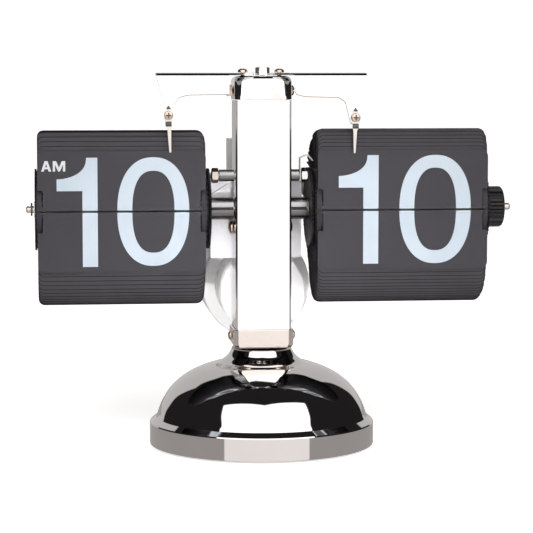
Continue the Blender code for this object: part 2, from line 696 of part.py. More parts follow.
build_arbor("minute_arbor", MINUTE_ARBOR_AT, (-21.2, 21.35), (
    (PINION_TEETH, DRUM_MODULE, gap_phase(PINION_TEETH, MINUTE_ARBOR_AT, AXLE_AT), 20.0, 21.3),
    (SMALL_TEETH, FINE_MODULE, gap_phase(SMALL_TEETH, MINUTE_ARBOR_AT, LAYSHAFT_AT), 4.0, 6.4),
    (MOTOR_GEAR_TEETH, FINE_MODULE, toward(MINUTE_ARBOR_AT, MOTOR_AT), 8.2, 9.8),
))
build_arbor("layshaft", LAYSHAFT_AT, (-21.2, 18.5), (
    (LAY_TEETH, FINE_MODULE, toward(LAYSHAFT_AT, MINUTE_ARBOR_AT), 4.4, 6.0),
    (SMALL_TEETH, FINE_MODULE, gap_phase(SMALL_TEETH, LAYSHAFT_AT, HOUR_ARBOR_AT), -8.8, -6.6),
))
build_arbor("hour_arbor", HOUR_ARBOR_AT, (-24.15, 18.5), (
    (HOUR_TEETH, FINE_MODULE, toward(HOUR_ARBOR_AT, LAYSHAFT_AT), -8.4, -7.0),
    (PINION_TEETH, DRUM_MODULE, gap_phase(PINION_TEETH, HOUR_ARBOR_AT, AXLE_AT), -24.1, -22.9),
))

pinion_phase = gap_phase(SMALL_TEETH, MOTOR_AT, MINUTE_ARBOR_AT)
motor_pinion = join(
    rod("X", 0.7, 7.6, 10.2, at=MOTOR_AT),
    plate("X", [gear_outline(SMALL_TEETH, FINE_MODULE, MOTOR_AT, pinion_phase)], 7.9, 10.1),
)
add_piece("motor_pinion", motor_pinion, BRASS, empty("motor_axis", (0, *MOTOR_AT)))
drive_motor = join(
    rod("X", 6.5, -6.5, 6.2, at=MOTOR_AT, steps=28), rod("X", 2.6, 5.8, 7.3, at=MOTOR_AT, steps=16)
)
add_piece("drive_motor", drive_motor, STEEL)

# ======================= gear housing =======================
HOUSING_X = (-21.5, 18.8)
HOUSING_Y = (10.4, 40.0)
LOW_Z, WIDE_TOP_Z, TOWER_TOP_Z = 80.8, 115.0, 132.8
TOWER_HALF_W = 11.9
HOUSING_WALL = 1.4
GUSSET_X = ((-21.4, -12.7), (18.7, 12.7))   # outer and inner edge, left then right


def housing_outline(inset):
    """A wide lower part with a narrower tower on top, as (X, Z)."""
    left, right = HOUSING_X[0] + inset, HOUSING_X[1] - inset
    low, wide_top, tower_top = LOW_Z + inset, WIDE_TOP_Z - inset, TOWER_TOP_Z - inset
    tower = TOWER_HALF_W - inset
    return [
        (left, low), (right, low), (right, wide_top), (tower, wide_top),
        (tower, tower_top), (-tower, tower_top), (-tower, wide_top), (left, wide_top),
    ]


# Tray open at the back, with a window in its front wall.
tray = cut(
    plate("Y", [housing_outline(0)], *HOUSING_Y),
    plate("Y", [housing_outline(HOUSING_WALL)], HOUSING_Y[0] + HOUSING_WALL, HOUSING_Y[1] + 1),
    box((-10.8, 10.8), (5, 15), (84.2, 128.0)),
)
gussets = [
    plate("Y", [[(outer, 98.0), (inner, 92.4), (inner, 114.6), (outer, 109.0)]], 8.4, 10.9)
    for outer, inner in GUSSET_X
]
# Ears that reach forward into the column to take its side screws.
ears = [box(mirrored(side, 9.0, 10.6), (2.4, 11.5), (92.0, 98.0)) for side, word in SIDES]
ribs = [box(mirrored(side, 8.9, 11.4), (10.5, 11.7), (91.5, 98.5)) for side, word in SIDES]
gear_housing = cut(
    join(tray, *gussets, *ears, *ribs),
    rod("Y", SADDLE_R, 5, 60, at=BATTERY_AT, steps=32),
    rod("X", HOUSING_SCREW_BORE_R, -12, 12, at=HOUSING_SCREW_AT),
    rod("X", 5.2, -30, 30, at=AXLE_AT, steps=24),
    *(
        rod("X", 1.3, -30, 30, at=at, steps=16)
        for at in (MINUTE_ARBOR_AT, HOUR_ARBOR_AT, LAYSHAFT_AT)
    ),
)
add_piece("gear_housing", gear_housing, SILVER)

# Lid on the back, with a raised pad near the top.
lid = join(
    plate("Y", [housing_outline(0)], 40.3, 41.8), box((-4.0, 4.0), (41.5, 42.6), (120.0, 130.0))
)
lid = cut(lid, rod("Y", SADDLE_R, 35, 60, at=BATTERY_AT, steps=32))
add_piece("housing_cover", lid, SILVER)

# ======================= battery =======================
CELL_R = 17.1
COVER_R = 24.8
CASE_BORE_R = CASE_R - 1.5
COVER_BORE_R = COVER_R - 1.5
SLIDE_Y = 50            # origin of the parts that slide out
FLAT_ANGLE = 41.6       # degrees above and below level where the front boss is cut flat

# (radius, Y)
CASE_PROFILE = [
    (0, 17.0), (CASE_R, 17.0), (CASE_R, 84.0), (CASE_BORE_R, 84.0), (CASE_BORE_R, 18.6), (0, 18.6),
]
CELL_PROFILE = [
    (0, 22.4), (15.8, 22.4), (CELL_R, 23.4), (CELL_R, 80.6),
    (15.8, 81.6), (4.8, 81.6), (4.8, 83.2), (0, 83.2),
]
COVER_PROFILE = [
    (0, 84.6), (CASE_R + 1.4, 84.6), (COVER_BORE_R, 82.6), (COVER_BORE_R, 46.2),
    (COVER_R, 46.2), (COVER_R, 83.4), (COVER_R - 2.6, 86.2), (0, 86.2),
]

# Tube closed at the front, with a flat-sided boss there and a flange part way along.
boss_outline = [
    *arc(BATTERY_AT, CASE_R - 0.2, -FLAT_ANGLE, FLAT_ANGLE, 5),
    *arc(BATTERY_AT, CASE_R - 0.2, 180 - FLAT_ANGLE, 180 + FLAT_ANGLE, 5),
]
flange_loops = [ring(24.3, 28, BATTERY_AT), ring(CASE_R - 0.6, 28, BATTERY_AT)]
battery_case = join(
    turned("Y", CASE_PROFILE, at=BATTERY_AT, steps=28),
    plate("Y", [boss_outline], 14.6, 17.6),
    plate("Y", flange_loops, 44.0, 45.8),
)
add_piece("battery_case", battery_case, WHITE)

COIL_TURNS = 2.5
COIL_STEPS = 25
COIL_R = (6.5, 4.0)     # at the front and back end
COIL_Y = (19.3, 21.7)


def coil_mesh():
    data = bpy.data.curves.new("battery_spring", "CURVE")
    data.dimensions = "3D"
    data.bevel_depth = 0.3      # wire radius
    data.bevel_resolution = 0
    data.use_fill_caps = True
    spline = data.splines.new("POLY")
    spline.points.add(COIL_STEPS)
    for i, point in enumerate(spline.points):
        share = i / COIL_STEPS
        r = COIL_R[0] + (COIL_R[1] - COIL_R[0]) * share
        x, z = around(BATTERY_AT, r, 2 * math.pi * COIL_TURNS * share)
        point.co = (x, COIL_Y[0] + (COIL_Y[1] - COIL_Y[0]) * share, z, 1)
    mesh = bake(helper("coil", data))
    tidy(mesh)
    return mesh


add_piece("battery_spring", coil_mesh(), STEEL)

slide_at = (BATTERY_AT[0], SLIDE_Y, BATTERY_AT[1])
battery_slide = empty("battery_slide", slide_at)
add_piece("battery_cell", turned("Y", CELL_PROFILE, at=BATTERY_AT), CELL, battery_slide)
cover_slide = empty("cover_slide", slide_at)
add_piece("battery_cover", turned("Y", COVER_PROFILE, at=BATTERY_AT), SILVER, cover_slide)
contact = rod("Y", 5.5, 83.6, 84.2, at=BATTERY_AT, steps=20)
add_piece("battery_contact", contact, BRASS, cover_slide)
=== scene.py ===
"""Flip number clock on a round chrome foot.

Shapes are worked in millimetres and scaled to metres. Z is up from the table and the numbers
face -Y. The hour drum is on the left (-X) and the minute drum on the right (+X), both on an axle
along X that crosses a column. The gear housing and the battery lie behind the column (+Y).
"""

import math
import random

import bmesh
import bpy
from mathutils import Matrix, Vector


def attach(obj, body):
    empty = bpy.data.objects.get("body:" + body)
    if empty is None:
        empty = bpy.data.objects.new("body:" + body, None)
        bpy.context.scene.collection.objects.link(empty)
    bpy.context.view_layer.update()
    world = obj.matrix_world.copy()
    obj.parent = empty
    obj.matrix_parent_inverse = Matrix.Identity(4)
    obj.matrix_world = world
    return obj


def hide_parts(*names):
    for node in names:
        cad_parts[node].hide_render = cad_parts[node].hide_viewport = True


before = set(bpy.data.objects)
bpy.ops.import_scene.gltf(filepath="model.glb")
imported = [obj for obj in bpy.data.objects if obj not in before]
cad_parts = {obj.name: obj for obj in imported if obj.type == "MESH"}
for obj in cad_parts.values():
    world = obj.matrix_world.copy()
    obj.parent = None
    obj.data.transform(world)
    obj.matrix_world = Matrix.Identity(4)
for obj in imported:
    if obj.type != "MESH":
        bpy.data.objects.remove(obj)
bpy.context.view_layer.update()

MM = 0.001
TURN = 2 * math.pi
scene = bpy.context.scene
leaf_random = random.Random(7)

# Centre lines. Those along X are (y, z), along Y (x, z) and along Z (x, y).
AXLE_Z = 103.5
AXLE = (0, AXLE_Z)
ROD = (-4.0, 118.0)
FOOT_SCREW = (0, 47.8)
HOUSING_SCREW = (5.0, 95.0)
CAP_CROSS_BOLT = (0, 154.6)
FOOT_BOLT = (0, 0)
CAP_SCREWS = {"left": (-8.5, -3), "right": (7.4, -3)}
CAP_BOLT = (0.2, -2)
FINGER_SCREWS = {"hour": (-41.4, 144.2), "minute": (38.7, 143.1)}
BATTERY = (2.0, 65.5)


# =====================================================================
# mesh helpers, in mm
# =====================================================================
def link(obj):
    scene.collection.objects.link(obj)
    return obj


def baked(data, *modifiers):
    """The mesh of a curve or mesh once its (kind, settings) modifiers are applied."""
    obj = link(bpy.data.objects.new("work", data))
    for kind, settings in modifiers:
        modifier = obj.modifiers.new(kind.lower(), kind)
        for key, value in settings.items():
            setattr(modifier, key, value)
    bpy.context.view_layer.update()
    evaluated = obj.evaluated_get(bpy.context.evaluated_depsgraph_get())
    mesh = bpy.data.meshes.new_from_object(evaluated)
    bpy.data.objects.remove(obj)
    return mesh


def to_mesh(bm, name="part"):
    mesh = bpy.data.meshes.new(name)
    bm.to_mesh(mesh)
    bm.free()
    return mesh


def clean(mesh, weld=1e-4, dissolve=0.0):
    """Welds close vertices and, given an angle in degrees, merges flat faces."""
    bm = bmesh.new()
    bm.from_mesh(mesh)
    bmesh.ops.remove_doubles(bm, verts=bm.verts, dist=weld)
    if dissolve:
        angle = math.radians(dissolve)
        bmesh.ops.dissolve_limit(bm, angle_limit=angle, verts=bm.verts, edges=bm.edges)
    bmesh.ops.recalc_face_normals(bm, faces=bm.faces)
    bm.to_mesh(mesh)
    bm.free()
    return mesh


def boolean(first, others, operation):
    for other in others:
        tool = link(bpy.data.objects.new("cutter", other))
        settings = {"operation": operation, "solver": "EXACT", "object": tool}
        first = baked(first, ("BOOLEAN", settings))
        bpy.data.objects.remove(tool)
        clean(first, 1e-5)
    return first


def cut(first, *others):
    return boolean(first, others, "DIFFERENCE")


def join(first, *others):
    return boolean(first, others, "UNION")


def common(first, *others):
    return boolean(first, others, "INTERSECT")


def together(*meshes):
    """Several closed shells in one mesh."""
    bm = bmesh.new()
    for mesh in meshes:
        bm.from_mesh(mesh)
    return to_mesh(bm)


def box(x, y, z):
    bm = bmesh.new()
    bmesh.ops.create_cube(bm, size=1)
    mesh = to_mesh(bm)
    size = Matrix.Diagonal((x[1] - x[0], y[1] - y[0], z[1] - z[0], 1))
    mesh.transform(Matrix.Translation([(lo + hi) / 2 for lo, hi in (x, y, z)]) @ size)
    return mesh


# Stand a flat outline across an axis: its plane becomes YZ, XZ or XY
OUTLINE_TURN = {
    "X": Matrix(((0, 0, 1, 0), (1, 0, 0, 0), (0, 1, 0, 0), (0, 0, 0, 1))),
    "Y": Matrix(((1, 0, 0, 0), (0, 0, -1, 0), (0, 1, 0, 0), (0, 0, 0, 1))),
    "Z": Matrix.Identity(4),
}
# Lay a body turned about Z along an axis
LATHE_TURN = {
    "X": Matrix.Rotation(math.pi / 2, 4, "Y"),
    "Y": Matrix.Rotation(-math.pi / 2, 4, "X"),
    "Z": Matrix.Identity(4),
}


def polar(radius, angle, at=(0, 0)):
    return (at[0] + radius * math.cos(angle), at[1] + radius * math.sin(angle))


def lathe(axis, profile, at=(0, 0), steps=96):
    """A closed loop of (radius, height) turned about an axis."""
    bm = bmesh.new()
    rings = []
    for radius, height in profile:
        if radius < 1e-6:
            rings.append([bm.verts.new((0, 0, height))])
        else:
            ring = [(*polar(radius, TURN * i / steps), height) for i in range(steps)]
            rings.append([bm.verts.new(point) for point in ring])
    for a, b in zip(rings, rings[1:] + rings[:1]):
        if len(a) == 1 and len(b) == 1:
            continue
        for i in range(steps):
            j = (i + 1) % steps
            if len(a) == 1:
                bm.faces.new((a[0], b[j], b[i]))
            elif len(b) == 1:
                bm.faces.new((a[i], a[j], b[0]))
            else:
                bm.faces.new((a[i], a[j], b[j], b[i]))
    bmesh.ops.recalc_face_normals(bm, faces=bm.faces)
    mesh = to_mesh(bm)
    place = {"X": (0, at[0], at[1]), "Y": (at[0], 0, at[1]), "Z": (at[0], at[1], 0)}[axis]
    mesh.transform(Matrix.Translation(place) @ LATHE_TURN[axis])
    return mesh


def rod(axis, radius, lo, hi, at=(0, 0), steps=96):
    """A plain cylinder, mostly used to cut a hole."""
    return lathe(axis, [(0, lo), (radius, lo), (radius, hi), (0, hi)], at, steps)


def plate(axis, loops, lo, hi):
    """Flat outlines extruded along X (outline in Y, Z), Y (in X, Z) or Z (in X, Y)."""
    data = bpy.data.curves.new("outline", "CURVE")
    data.dimensions = "2D"
    data.fill_mode = "BOTH"
    data.extrude = (hi - lo) / 2
    for loop in loops:
        spline = data.splines.new("POLY")
        spline.points.add(len(loop) - 1)
        for point, (u, v) in zip(spline.points, loop):
            point.co = (u, v, 0, 1)
        spline.use_cyclic_u = True
    mesh = baked(data)
    middle = (lo + hi) / 2
    shift = [middle if letter == axis else 0 for letter in "XYZ"]
    mesh.transform(Matrix.Translation(shift) @ OUTLINE_TURN[axis])
    return clean(mesh)


def loft(sections):
    """Closed loops with equal point counts joined into one closed body, capped at both ends."""
    bm = bmesh.new()
    rows = [[bm.verts.new(point) for point in section] for section in sections]
    count = len(rows[0])
    for a, b in zip(rows, rows[1:]):
        for i in range(count):
            j = (i + 1) % count
            bm.faces.new((a[i], a[j], b[j], b[i]))
    bm.faces.new(rows[0][::-1])
    bm.faces.new(rows[-1])
    bmesh.ops.recalc_face_normals(bm, faces=bm.faces)
    return to_mesh(bm)


def circle(radius, steps, at, phase=0.0):
    return [polar(radius, phase + TURN * i / steps, at) for i in range(steps)]


def fillet(points, steps=8):
    """A closed outline of (u, v, radius) with each corner rounded."""
    out = []
    for i, (u, v, radius) in enumerate(points):
        corner = Vector((u, v))
        back = Vector(points[i - 1][:2]) - corner
        ahead = Vector(points[(i + 1) % len(points)][:2]) - corner
        to_back, to_ahead = back.normalized(), ahead.normalized()
        half = math.acos(max(-1, min(1, to_back.dot(to_ahead)))) / 2
        too_short = back.length < 1e-6 or ahead.length < 1e-6
        if radius <= 0 or too_short or half > math.pi / 2 - 0.02:
            out.append((corner.x, corner.y))
            continue
        reach = min(radius / math.tan(half), back.length * 0.49, ahead.length * 0.49)
        radius = reach * math.tan(half)
        centre = corner + (to_back + to_ahead).normalized() * (radius / math.sin(half))
        start = corner + to_back * reach - centre
        end = corner + to_ahead * reach - centre
        first, last = math.atan2(start.y, start.x), math.atan2(end.y, end.x)
        sweep = (last - first + math.pi) % TURN - math.pi
        for k in range(steps + 1):
            out.append(polar(radius, first + sweep * k / steps, centre))
    return out


def soft(profile, radius=0.25, steps=4):
    """A lathe profile (radius, height) with its corners off the axis rounded."""
    return fillet([(r, height, radius if r > 1e-6 else 0) for r, height in profile], steps)


def smooth_curve(points, per):
    """A Catmull-Rom curve through the points, with per steps between neighbours."""
    out = []
    last = len(points) - 1
    for i in range(last):
        near = (points[max(i - 1, 0)], points[i], points[i + 1], points[min(i + 2, last)])
        for k in range(per):
            t = k / per
            out.append(tuple(
                0.5 * (2 * b + (c - a) * t + (2 * a - 5 * b + 4 * c - d) * t * t
                       + (3 * b - a - 3 * c + d) * t ** 3)
                for a, b, c, d in zip(*near)
            ))
    out.append(points[-1])
    return out


def tub_outline(half_x, half_y, front, back, steps):
    """A rectangle with its own corner radii at the front (-Y) and the back."""
    return fillet([
        (-half_x, half_y, back), (-half_x, -half_y, front),
        (half_x, -half_y, front), (half_x, half_y, back),
    ], steps)


def tub(half, stations, back, steps, back_shrink=0.0):
    """A body lofted through (z, inset, front corner radius) stations."""
    sections = []
    for z, inset, front in stations:
        back_radius = max(0.3, back - inset * back_shrink)
        loop = tub_outline(half[0] - inset, half[1] - inset, front, back_radius, steps)
        sections.append([(x, y, z) for x, y in loop])
    return loft(sections)


def cad_mesh(node):
    """A copy of a CAD node's mesh, in mm."""
    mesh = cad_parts[node].data.copy()
    # stored normals, where the mesh has any, would no longer fit once it is bevelled
    if mesh.has_custom_normals:
        mesh = together(mesh)
        for attribute in list(mesh.attributes):
            if attribute.name == "custom_normal":
                mesh.attributes.remove(attribute)
    mesh.transform(Matrix.Scale(1000, 4))
    return clean(mesh, 2e-3)


def bevelled(mesh, width, segments, limit):
    """Rounds the edges sharper than limit degrees."""
    return baked(clean(mesh, 1e-4, 0.5), ("BEVEL", {
        "width": width, "segments": segments, "limit_method": "ANGLE",
        "angle_limit": math.radians(limit),
    }))


def piece(name, mesh, materials, replaces=None, body="root", bevel=0.0, segments=2,
          limit=28, sharp=40, weighted=True):
    """Finishes a mesh in mm as a piece in metres that rides a body."""
    if bevel:
        mesh = clean(bevelled(mesh, bevel, segments, limit), 1e-5)
    mesh.transform(Matrix.Scale(MM, 4))
    mesh.materials.clear()
    for material in materials if isinstance(materials, list) else [materials]:
        mesh.materials.append(material)
    mesh.shade_smooth()
    mesh.set_sharp_from_angle(angle=math.radians(sharp))
    if weighted:
        mesh = baked(mesh, ("WEIGHTED_NORMAL", {"keep_sharp": True, "weight": 50}))
    mesh.name = name
    obj = link(bpy.data.objects.new(name, mesh))
    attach(obj, body)
    if replaces:
        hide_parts(replaces)
    return obj


def paint(obj, choose):
    """Picks each face's material slot from its centre in mm and its normal."""
    for poly in obj.data.polygons:
        poly.material_index = choose(poly.center * 1000, poly.normal)


# =====================================================================
# fasteners
# =====================================================================
def hex_head(axis, radius, lo, hi, at, square_lo=False, phase=0.0, hole=None):
    """A hexagon (radius across its corners) with the corners turned off at its ends."""
    edge = min(0.55, (hi - lo) * 0.3)
    envelope = [
        (0, lo), (radius - (0 if square_lo else edge * 1.2), lo),
        (radius + 0.02, lo + edge * 0.62), (radius + 0.02, hi - edge * 0.62),
        (radius - edge * 1.2, hi), (0, hi),
    ]
    head = plate(axis, [circle(radius, 6, at, phase)], lo, hi)
    head = common(head, lathe(axis, envelope, at, steps=72))
    if hole:
        flare = hole + 0.35
        bore = [
            (0, lo - 1), (flare, lo - 1), (flare, lo), (hole, lo + 0.35),
            (hole, hi - 0.35), (flare, hi), (flare, hi + 1), (0, hi + 1),
        ]
        head = cut(head, lathe(axis, bore, at, steps=36))
    return head


def threaded(axis, radius, lo, hi, at, pitch=0.5):
    """A shank with shallow ring grooves for its thread."""
    profile = [(0, lo), (radius * 0.75, lo)]
    height = lo + 0.25
    while height + pitch < hi:
        profile += [(radius, height), (radius * 0.86, height + pitch / 2)]
        height += pitch
    profile += [(radius, height), (radius, hi), (0, hi)]
    return lathe(axis, profile, at, steps=28)


def dome_head(axis, radius, lo, hi, at, flat=0.35):
    """A pan head: flat side at lo, crown at hi (hi may be below lo); flat is the rim's share."""
    sign = 1 if hi > lo else -1
    height = abs(hi - lo)
    profile = [(0, lo), (radius * 0.97, lo), (radius, lo + sign * 0.12)]
    for degrees in range(0, 91, 10):
        angle = math.radians(degrees)
        r = radius * math.cos(angle) ** 0.9 if degrees < 90 else 0
        rise = height * flat + height * (1 - flat) * math.sin(angle)
        profile.append((r, lo + sign * rise))
    return lathe(axis, profile, at, steps=64)


def cross_bars(axis, at, face, depth, half, width):
    """Two crossed bars that cut a recess into a head."""
    along = tuple(sorted((face, face - depth)))
    u, v = at
    bars = []
    for a, b in ((half, width), (width, half)):
        first, second = (u - a, u + a), (v - b, v + b)
        bars.append(box(*{
            "X": (along, first, second), "Y": (first, along, second), "Z": (first, second, along),
        }[axis]))
    return bars


def cross_screw(axis, at, head, recess, shank, flat=0.35, pitch=0.5):
    """head: (radius, lo, hi), recess: (face, depth, half length, half width),
    shank: (radius, lo, hi)."""
    top = cut(dome_head(axis, *head, at, flat), *cross_bars(axis, at, *recess))
    return join(top, threaded(axis, *shank, at, pitch))


# =====================================================================
# materials
# =====================================================================
def node(tree, kind, inputs=None, **settings):
    """Adds a shader node; an input given as a socket is linked, any other is set."""
    made = tree.nodes.new("ShaderNode" + kind)
    for key, value in settings.items():
        setattr(made, key, value)
    for key, value in (inputs or {}).items():
        if isinstance(value, bpy.types.NodeSocket):
            tree.links.new(value, made.inputs[key])
        else:
            made.inputs[key].default_value = value
    return made


def remap(tree, value, source, target):
    """Maps the source range onto the target range."""
    return node(tree, "MapRange", {
        "From Min": source[0], "From Max": source[1],
        "To Min": target[0], "To Max": target[1], "Value": value,
    }).outputs["Result"]


def scaled(tree, vector, factor):
    made = node(tree, "VectorMath", {0: vector, "Scale": factor}, operation="SCALE")
    return made.outputs["Vector"]


def finish(name, base, metal=0.0, rough=0.4, mottle=(0.06, 90), uneven=(0.05, 240),
           grain=(0.0, 3000), stretch=(1, 1, 1), lines=None, coat=0.0, tint=None, ior=1.5,
           under=None):
    """A procedural finish.

    mottle, uneven, grain and lines are (amount, noise scale) of the colour patches, the
    roughness, the bump and the fine darker lines. stretch scales all but the mottle along
    x, y, z. tint is the light end of the mottle, under the tone of faces that look down:
    a painted shade that darkens the colour on faces that look down.
    """
    material = bpy.data.materials.new(name)
    material.use_nodes = True
    tree = material.node_tree
    bsdf = tree.nodes["Principled BSDF"]
    plain = node(tree, "TexCoord").outputs["Object"]
    mapping = node(tree, "Mapping", {"Scale": stretch, "Vector": plain})
    stretched = mapping.outputs["Vector"]

    def noise(scale, detail, vector, roughness=0.55):
        return node(tree, "TexNoise", {
            "Scale": scale, "Detail": detail, "Roughness": roughness, "Vector": vector,
        }).outputs["Fac"]

    patches = noise(mottle[1], 5, plain)
    ramp = node(tree, "ValToRGB", {"Fac": patches})
    low, high = ramp.color_ramp.elements
    low.position = 0.32
    high.position = 0.68
    low.color = (*[c * (1 - mottle[0]) for c in base], 1)
    high.color = (*[min(1, c * (1 + mottle[0])) for c in (tint or base)], 1)
    colour = ramp.outputs["Color"]
    if lines:
        amount, scale = lines
        streaks = noise(scale, 2, stretched)
        factor = remap(tree, streaks, (0.35, 0.65), (1 - amount, 1 + amount * 0.4))
        colour = scaled(tree, colour, factor)
    # painted shade: the colour darkens on faces that look down
    if under:
        normal = node(tree, "NewGeometry").outputs["Normal"]
        height = node(tree, "SeparateXYZ", {0: normal}).outputs["Z"]
        colour = scaled(tree, colour, remap(tree, height, (-0.75, 0.55), (under, 1.0)))
    tree.links.new(colour, bsdf.inputs["Base Color"])
    rough_range = (max(0.0, rough - uneven[0]), min(1.0, rough + uneven[0]))
    roughness = remap(tree, noise(uneven[1], 4, stretched), (0.3, 0.7), rough_range)
    tree.links.new(roughness, bsdf.inputs["Roughness"])
    bsdf.inputs["Metallic"].default_value = metal
    bsdf.inputs["IOR"].default_value = ior
    if coat:
        bsdf.inputs["Coat Weight"].default_value = coat
        bsdf.inputs["Coat Roughness"].default_value = 0.1
    if grain[0]:
        bumps = noise(grain[1], 3, stretched, roughness=0.6)
        bump = node(tree, "Bump", {"Strength": grain[0], "Distance": 0.00004, "Height": bumps})
        tree.links.new(bump.outputs["Normal"], bsdf.inputs["Normal"])
    material.diffuse_color = (*base, 1)
    return material


CHROME = finish("chrome", (0.665, 0.640, 0.635), metal=1.0, rough=0.035,
                mottle=(0.02, 45), uneven=(0.02, 70), grain=(0.012, 900))
# the column carries the same plating as the dome; this copy has a much lighter tone, painted light
CHROME_SHEET = finish("chrome_sheet_painted_light", (0.95, 0.95, 0.955), metal=1.0, rough=0.05,
                      mottle=(0.008, 60), uneven=(0.02, 120), grain=(0.006, 3000),
                      stretch=(6, 6, 0.4), lines=(0.008, 400))
CAP_CHROME = finish("cap_chrome", (0.84, 0.83, 0.825), metal=1.0, rough=0.05,
                    mottle=(0.02, 80), uneven=(0.02, 150), grain=(0.01, 3000))
BRACKET = finish("bracket_nickel", (0.80, 0.745, 0.705), metal=1.0, rough=0.13,
                 mottle=(0.03, 70), uneven=(0.04, 160), grain=(0.03, 3000),
                 stretch=(0.5, 0.5, 9), lines=(0.05, 900))
# the nickel tubes carry painted shade on their faces that look down (under)
TUBE = finish("tube_nickel", (0.40, 0.395, 0.40), metal=1.0, rough=0.24,
              mottle=(0.04, 110), uneven=(0.05, 220), grain=(0.04, 1500),
              stretch=(0.3, 6, 6), lines=(0.06, 700), under=0.22)
SLOT = finish("slot_shadow", (0.02, 0.02, 0.021), metal=0.4, rough=0.5,
              mottle=(0.1, 90), grain=(0.05, 3000))
ARM = finish("arm_steel", (0.88, 0.875, 0.87), metal=1.0, rough=0.1,
             mottle=(0.02, 60), uneven=(0.04, 180), grain=(0.015, 3000),
             stretch=(0.3, 4, 4), lines=(0.03, 600))
# darker finish for the arm sheet's cut edges, and a painted shadow line along each arm's lower
# edge
ARM_EDGE = finish("arm_cut_edge_and_painted_shade", (0.30, 0.255, 0.22), metal=1.0, rough=0.3,
                  mottle=(0.04, 90), uneven=(0.05, 200), grain=(0.04, 3000))
STEEL = finish("machined_steel", (0.56, 0.54, 0.53), metal=1.0, rough=0.27,
               mottle=(0.07, 160), uneven=(0.07, 400), grain=(0.06, 1800),
               stretch=(0.4, 3, 3), lines=(0.10, 1400))
SHAFT = finish("axle_steel", (0.60, 0.54, 0.50), metal=1.0, rough=0.22,
               mottle=(0.05, 130), uneven=(0.05, 300), grain=(0.04, 3000),
               stretch=(5, 0.6, 0.6), lines=(0.09, 1200))
COPPER = finish("copper_screw", (0.56, 0.43, 0.345), metal=1.0, rough=0.22,
                mottle=(0.08, 260), uneven=(0.07, 600), grain=(0.05, 3000),
                tint=(0.66, 0.54, 0.45))
FINGER = finish("finger_spring", (0.66, 0.63, 0.60), metal=1.0, rough=0.2,
                mottle=(0.04, 200), uneven=(0.05, 500), grain=(0.03, 3000),
                stretch=(5, 5, 0.5), lines=(0.05, 900))
# blued steel on the axle clip; the same dark finish paints the shade of the finger clamps and of
# the finger screws' rims and recesses
BLUED_AND_SHADE = finish("blued_steel_and_painted_shade", (0.10, 0.095, 0.10), metal=1.0, rough=0.33,
               mottle=(0.15, 220), uneven=(0.08, 500), grain=(0.06, 3000))
BRASS = finish("turned_brass", (0.70, 0.50, 0.27), metal=1.0, rough=0.25,
               mottle=(0.08, 220), uneven=(0.07, 500), grain=(0.05, 3000))
LEAF = finish("leaf_film", (0.0262, 0.0246, 0.0284), rough=0.54, mottle=(0.05, 38),
              uneven=(0.05, 150), grain=(0.22, 3600), lines=(0.05, 2600), ior=1.26)
LEAF_PACK = finish("leaf_pack_film", (0.0302, 0.0284, 0.0324), rough=0.52, mottle=(0.07, 60),
                   uneven=(0.06, 180), grain=(0.2, 3200), stretch=(0.5, 3, 3),
                   lines=(0.06, 1700), ior=1.26)
# painted shadow lines: the dark frames round the leaves of the pack
LEAF_SHADOW_LINE = finish("leaf_painted_shadow_line", (0.0138, 0.0129, 0.0146), rough=0.6, mottle=(0.1, 60),
                  uneven=(0.05, 180), grain=(0.2, 3200), ior=1.12)
# painted shade: a darker copy of the leaf film for the leaves that lean back and the strips in the
# hinge gaps
LEAF_SHADE = finish("leaf_film_painted_shade", (0.0062, 0.0058, 0.0067), rough=0.6, mottle=(0.1, 60),
                   uneven=(0.05, 180), grain=(0.2, 3200), ior=1.12)
INK = finish("digit_ink", (0.283, 0.325, 0.365), rough=0.5, mottle=(0.018, 70),
             uneven=(0.04, 240), grain=(0.1, 3600), lines=(0.015, 2600),
             tint=(0.294, 0.333, 0.371), ior=1.3)
LETTER_INK = finish("letter_ink", (0.365, 0.370, 0.382), rough=0.5, mottle=(0.015, 70),
                    uneven=(0.04, 240), grain=(0.1, 3600), ior=1.3)
WHEEL = finish("wheel_moulding", (0.0070, 0.0066, 0.0075), rough=0.42, mottle=(0.12, 160),
               uneven=(0.08, 420), grain=(0.16, 2600), ior=1.2)
DRUM_SHELL = finish("drum_shell_moulding", (0.021, 0.020, 0.023), rough=0.45,
                    mottle=(0.1, 130), uneven=(0.07, 320), grain=(0.18, 2600), ior=1.25)
KNOB = finish("knob_moulding", (0.0048, 0.0046, 0.0052), rough=0.30, mottle=(0.14, 180),
              uneven=(0.08, 380), grain=(0.12, 2800), ior=1.36)
HOUSING = finish("housing_moulding", (0.86, 0.85, 0.89), metal=0.1, rough=0.42,
                 mottle=(0.03, 60), uneven=(0.05, 220), grain=(0.22, 2600),
                 lines=(0.06, 3200))
COVER = finish("cover_moulding", (0.74, 0.74, 0.77), metal=0.12, rough=0.36,
               mottle=(0.035, 50), uneven=(0.05, 220), grain=(0.18, 2600),
               lines=(0.06, 3200))
CASE = finish("case_moulding", (0.95, 0.95, 0.955), rough=0.30, mottle=(0.015, 50),
              uneven=(0.05, 220), grain=(0.08, 2400), lines=(0.015, 2600), coat=0.2)
ACETAL = finish("acetal_gear", (0.78, 0.755, 0.67), rough=0.36, mottle=(0.03, 120),
                uneven=(0.06, 420), grain=(0.10, 2200), lines=(0.03, 2600))
RUBBER = finish("pad_rubber", (0.018, 0.018, 0.018), rough=0.85, mottle=(0.2, 240),
                uneven=(0.08, 900), grain=(0.5, 1400))
CAST = finish("cast_iron", (0.17, 0.165, 0.16), metal=0.55, rough=0.62,
              mottle=(0.22, 120), uneven=(0.12, 300), grain=(0.7, 700), lines=(0.15, 900))
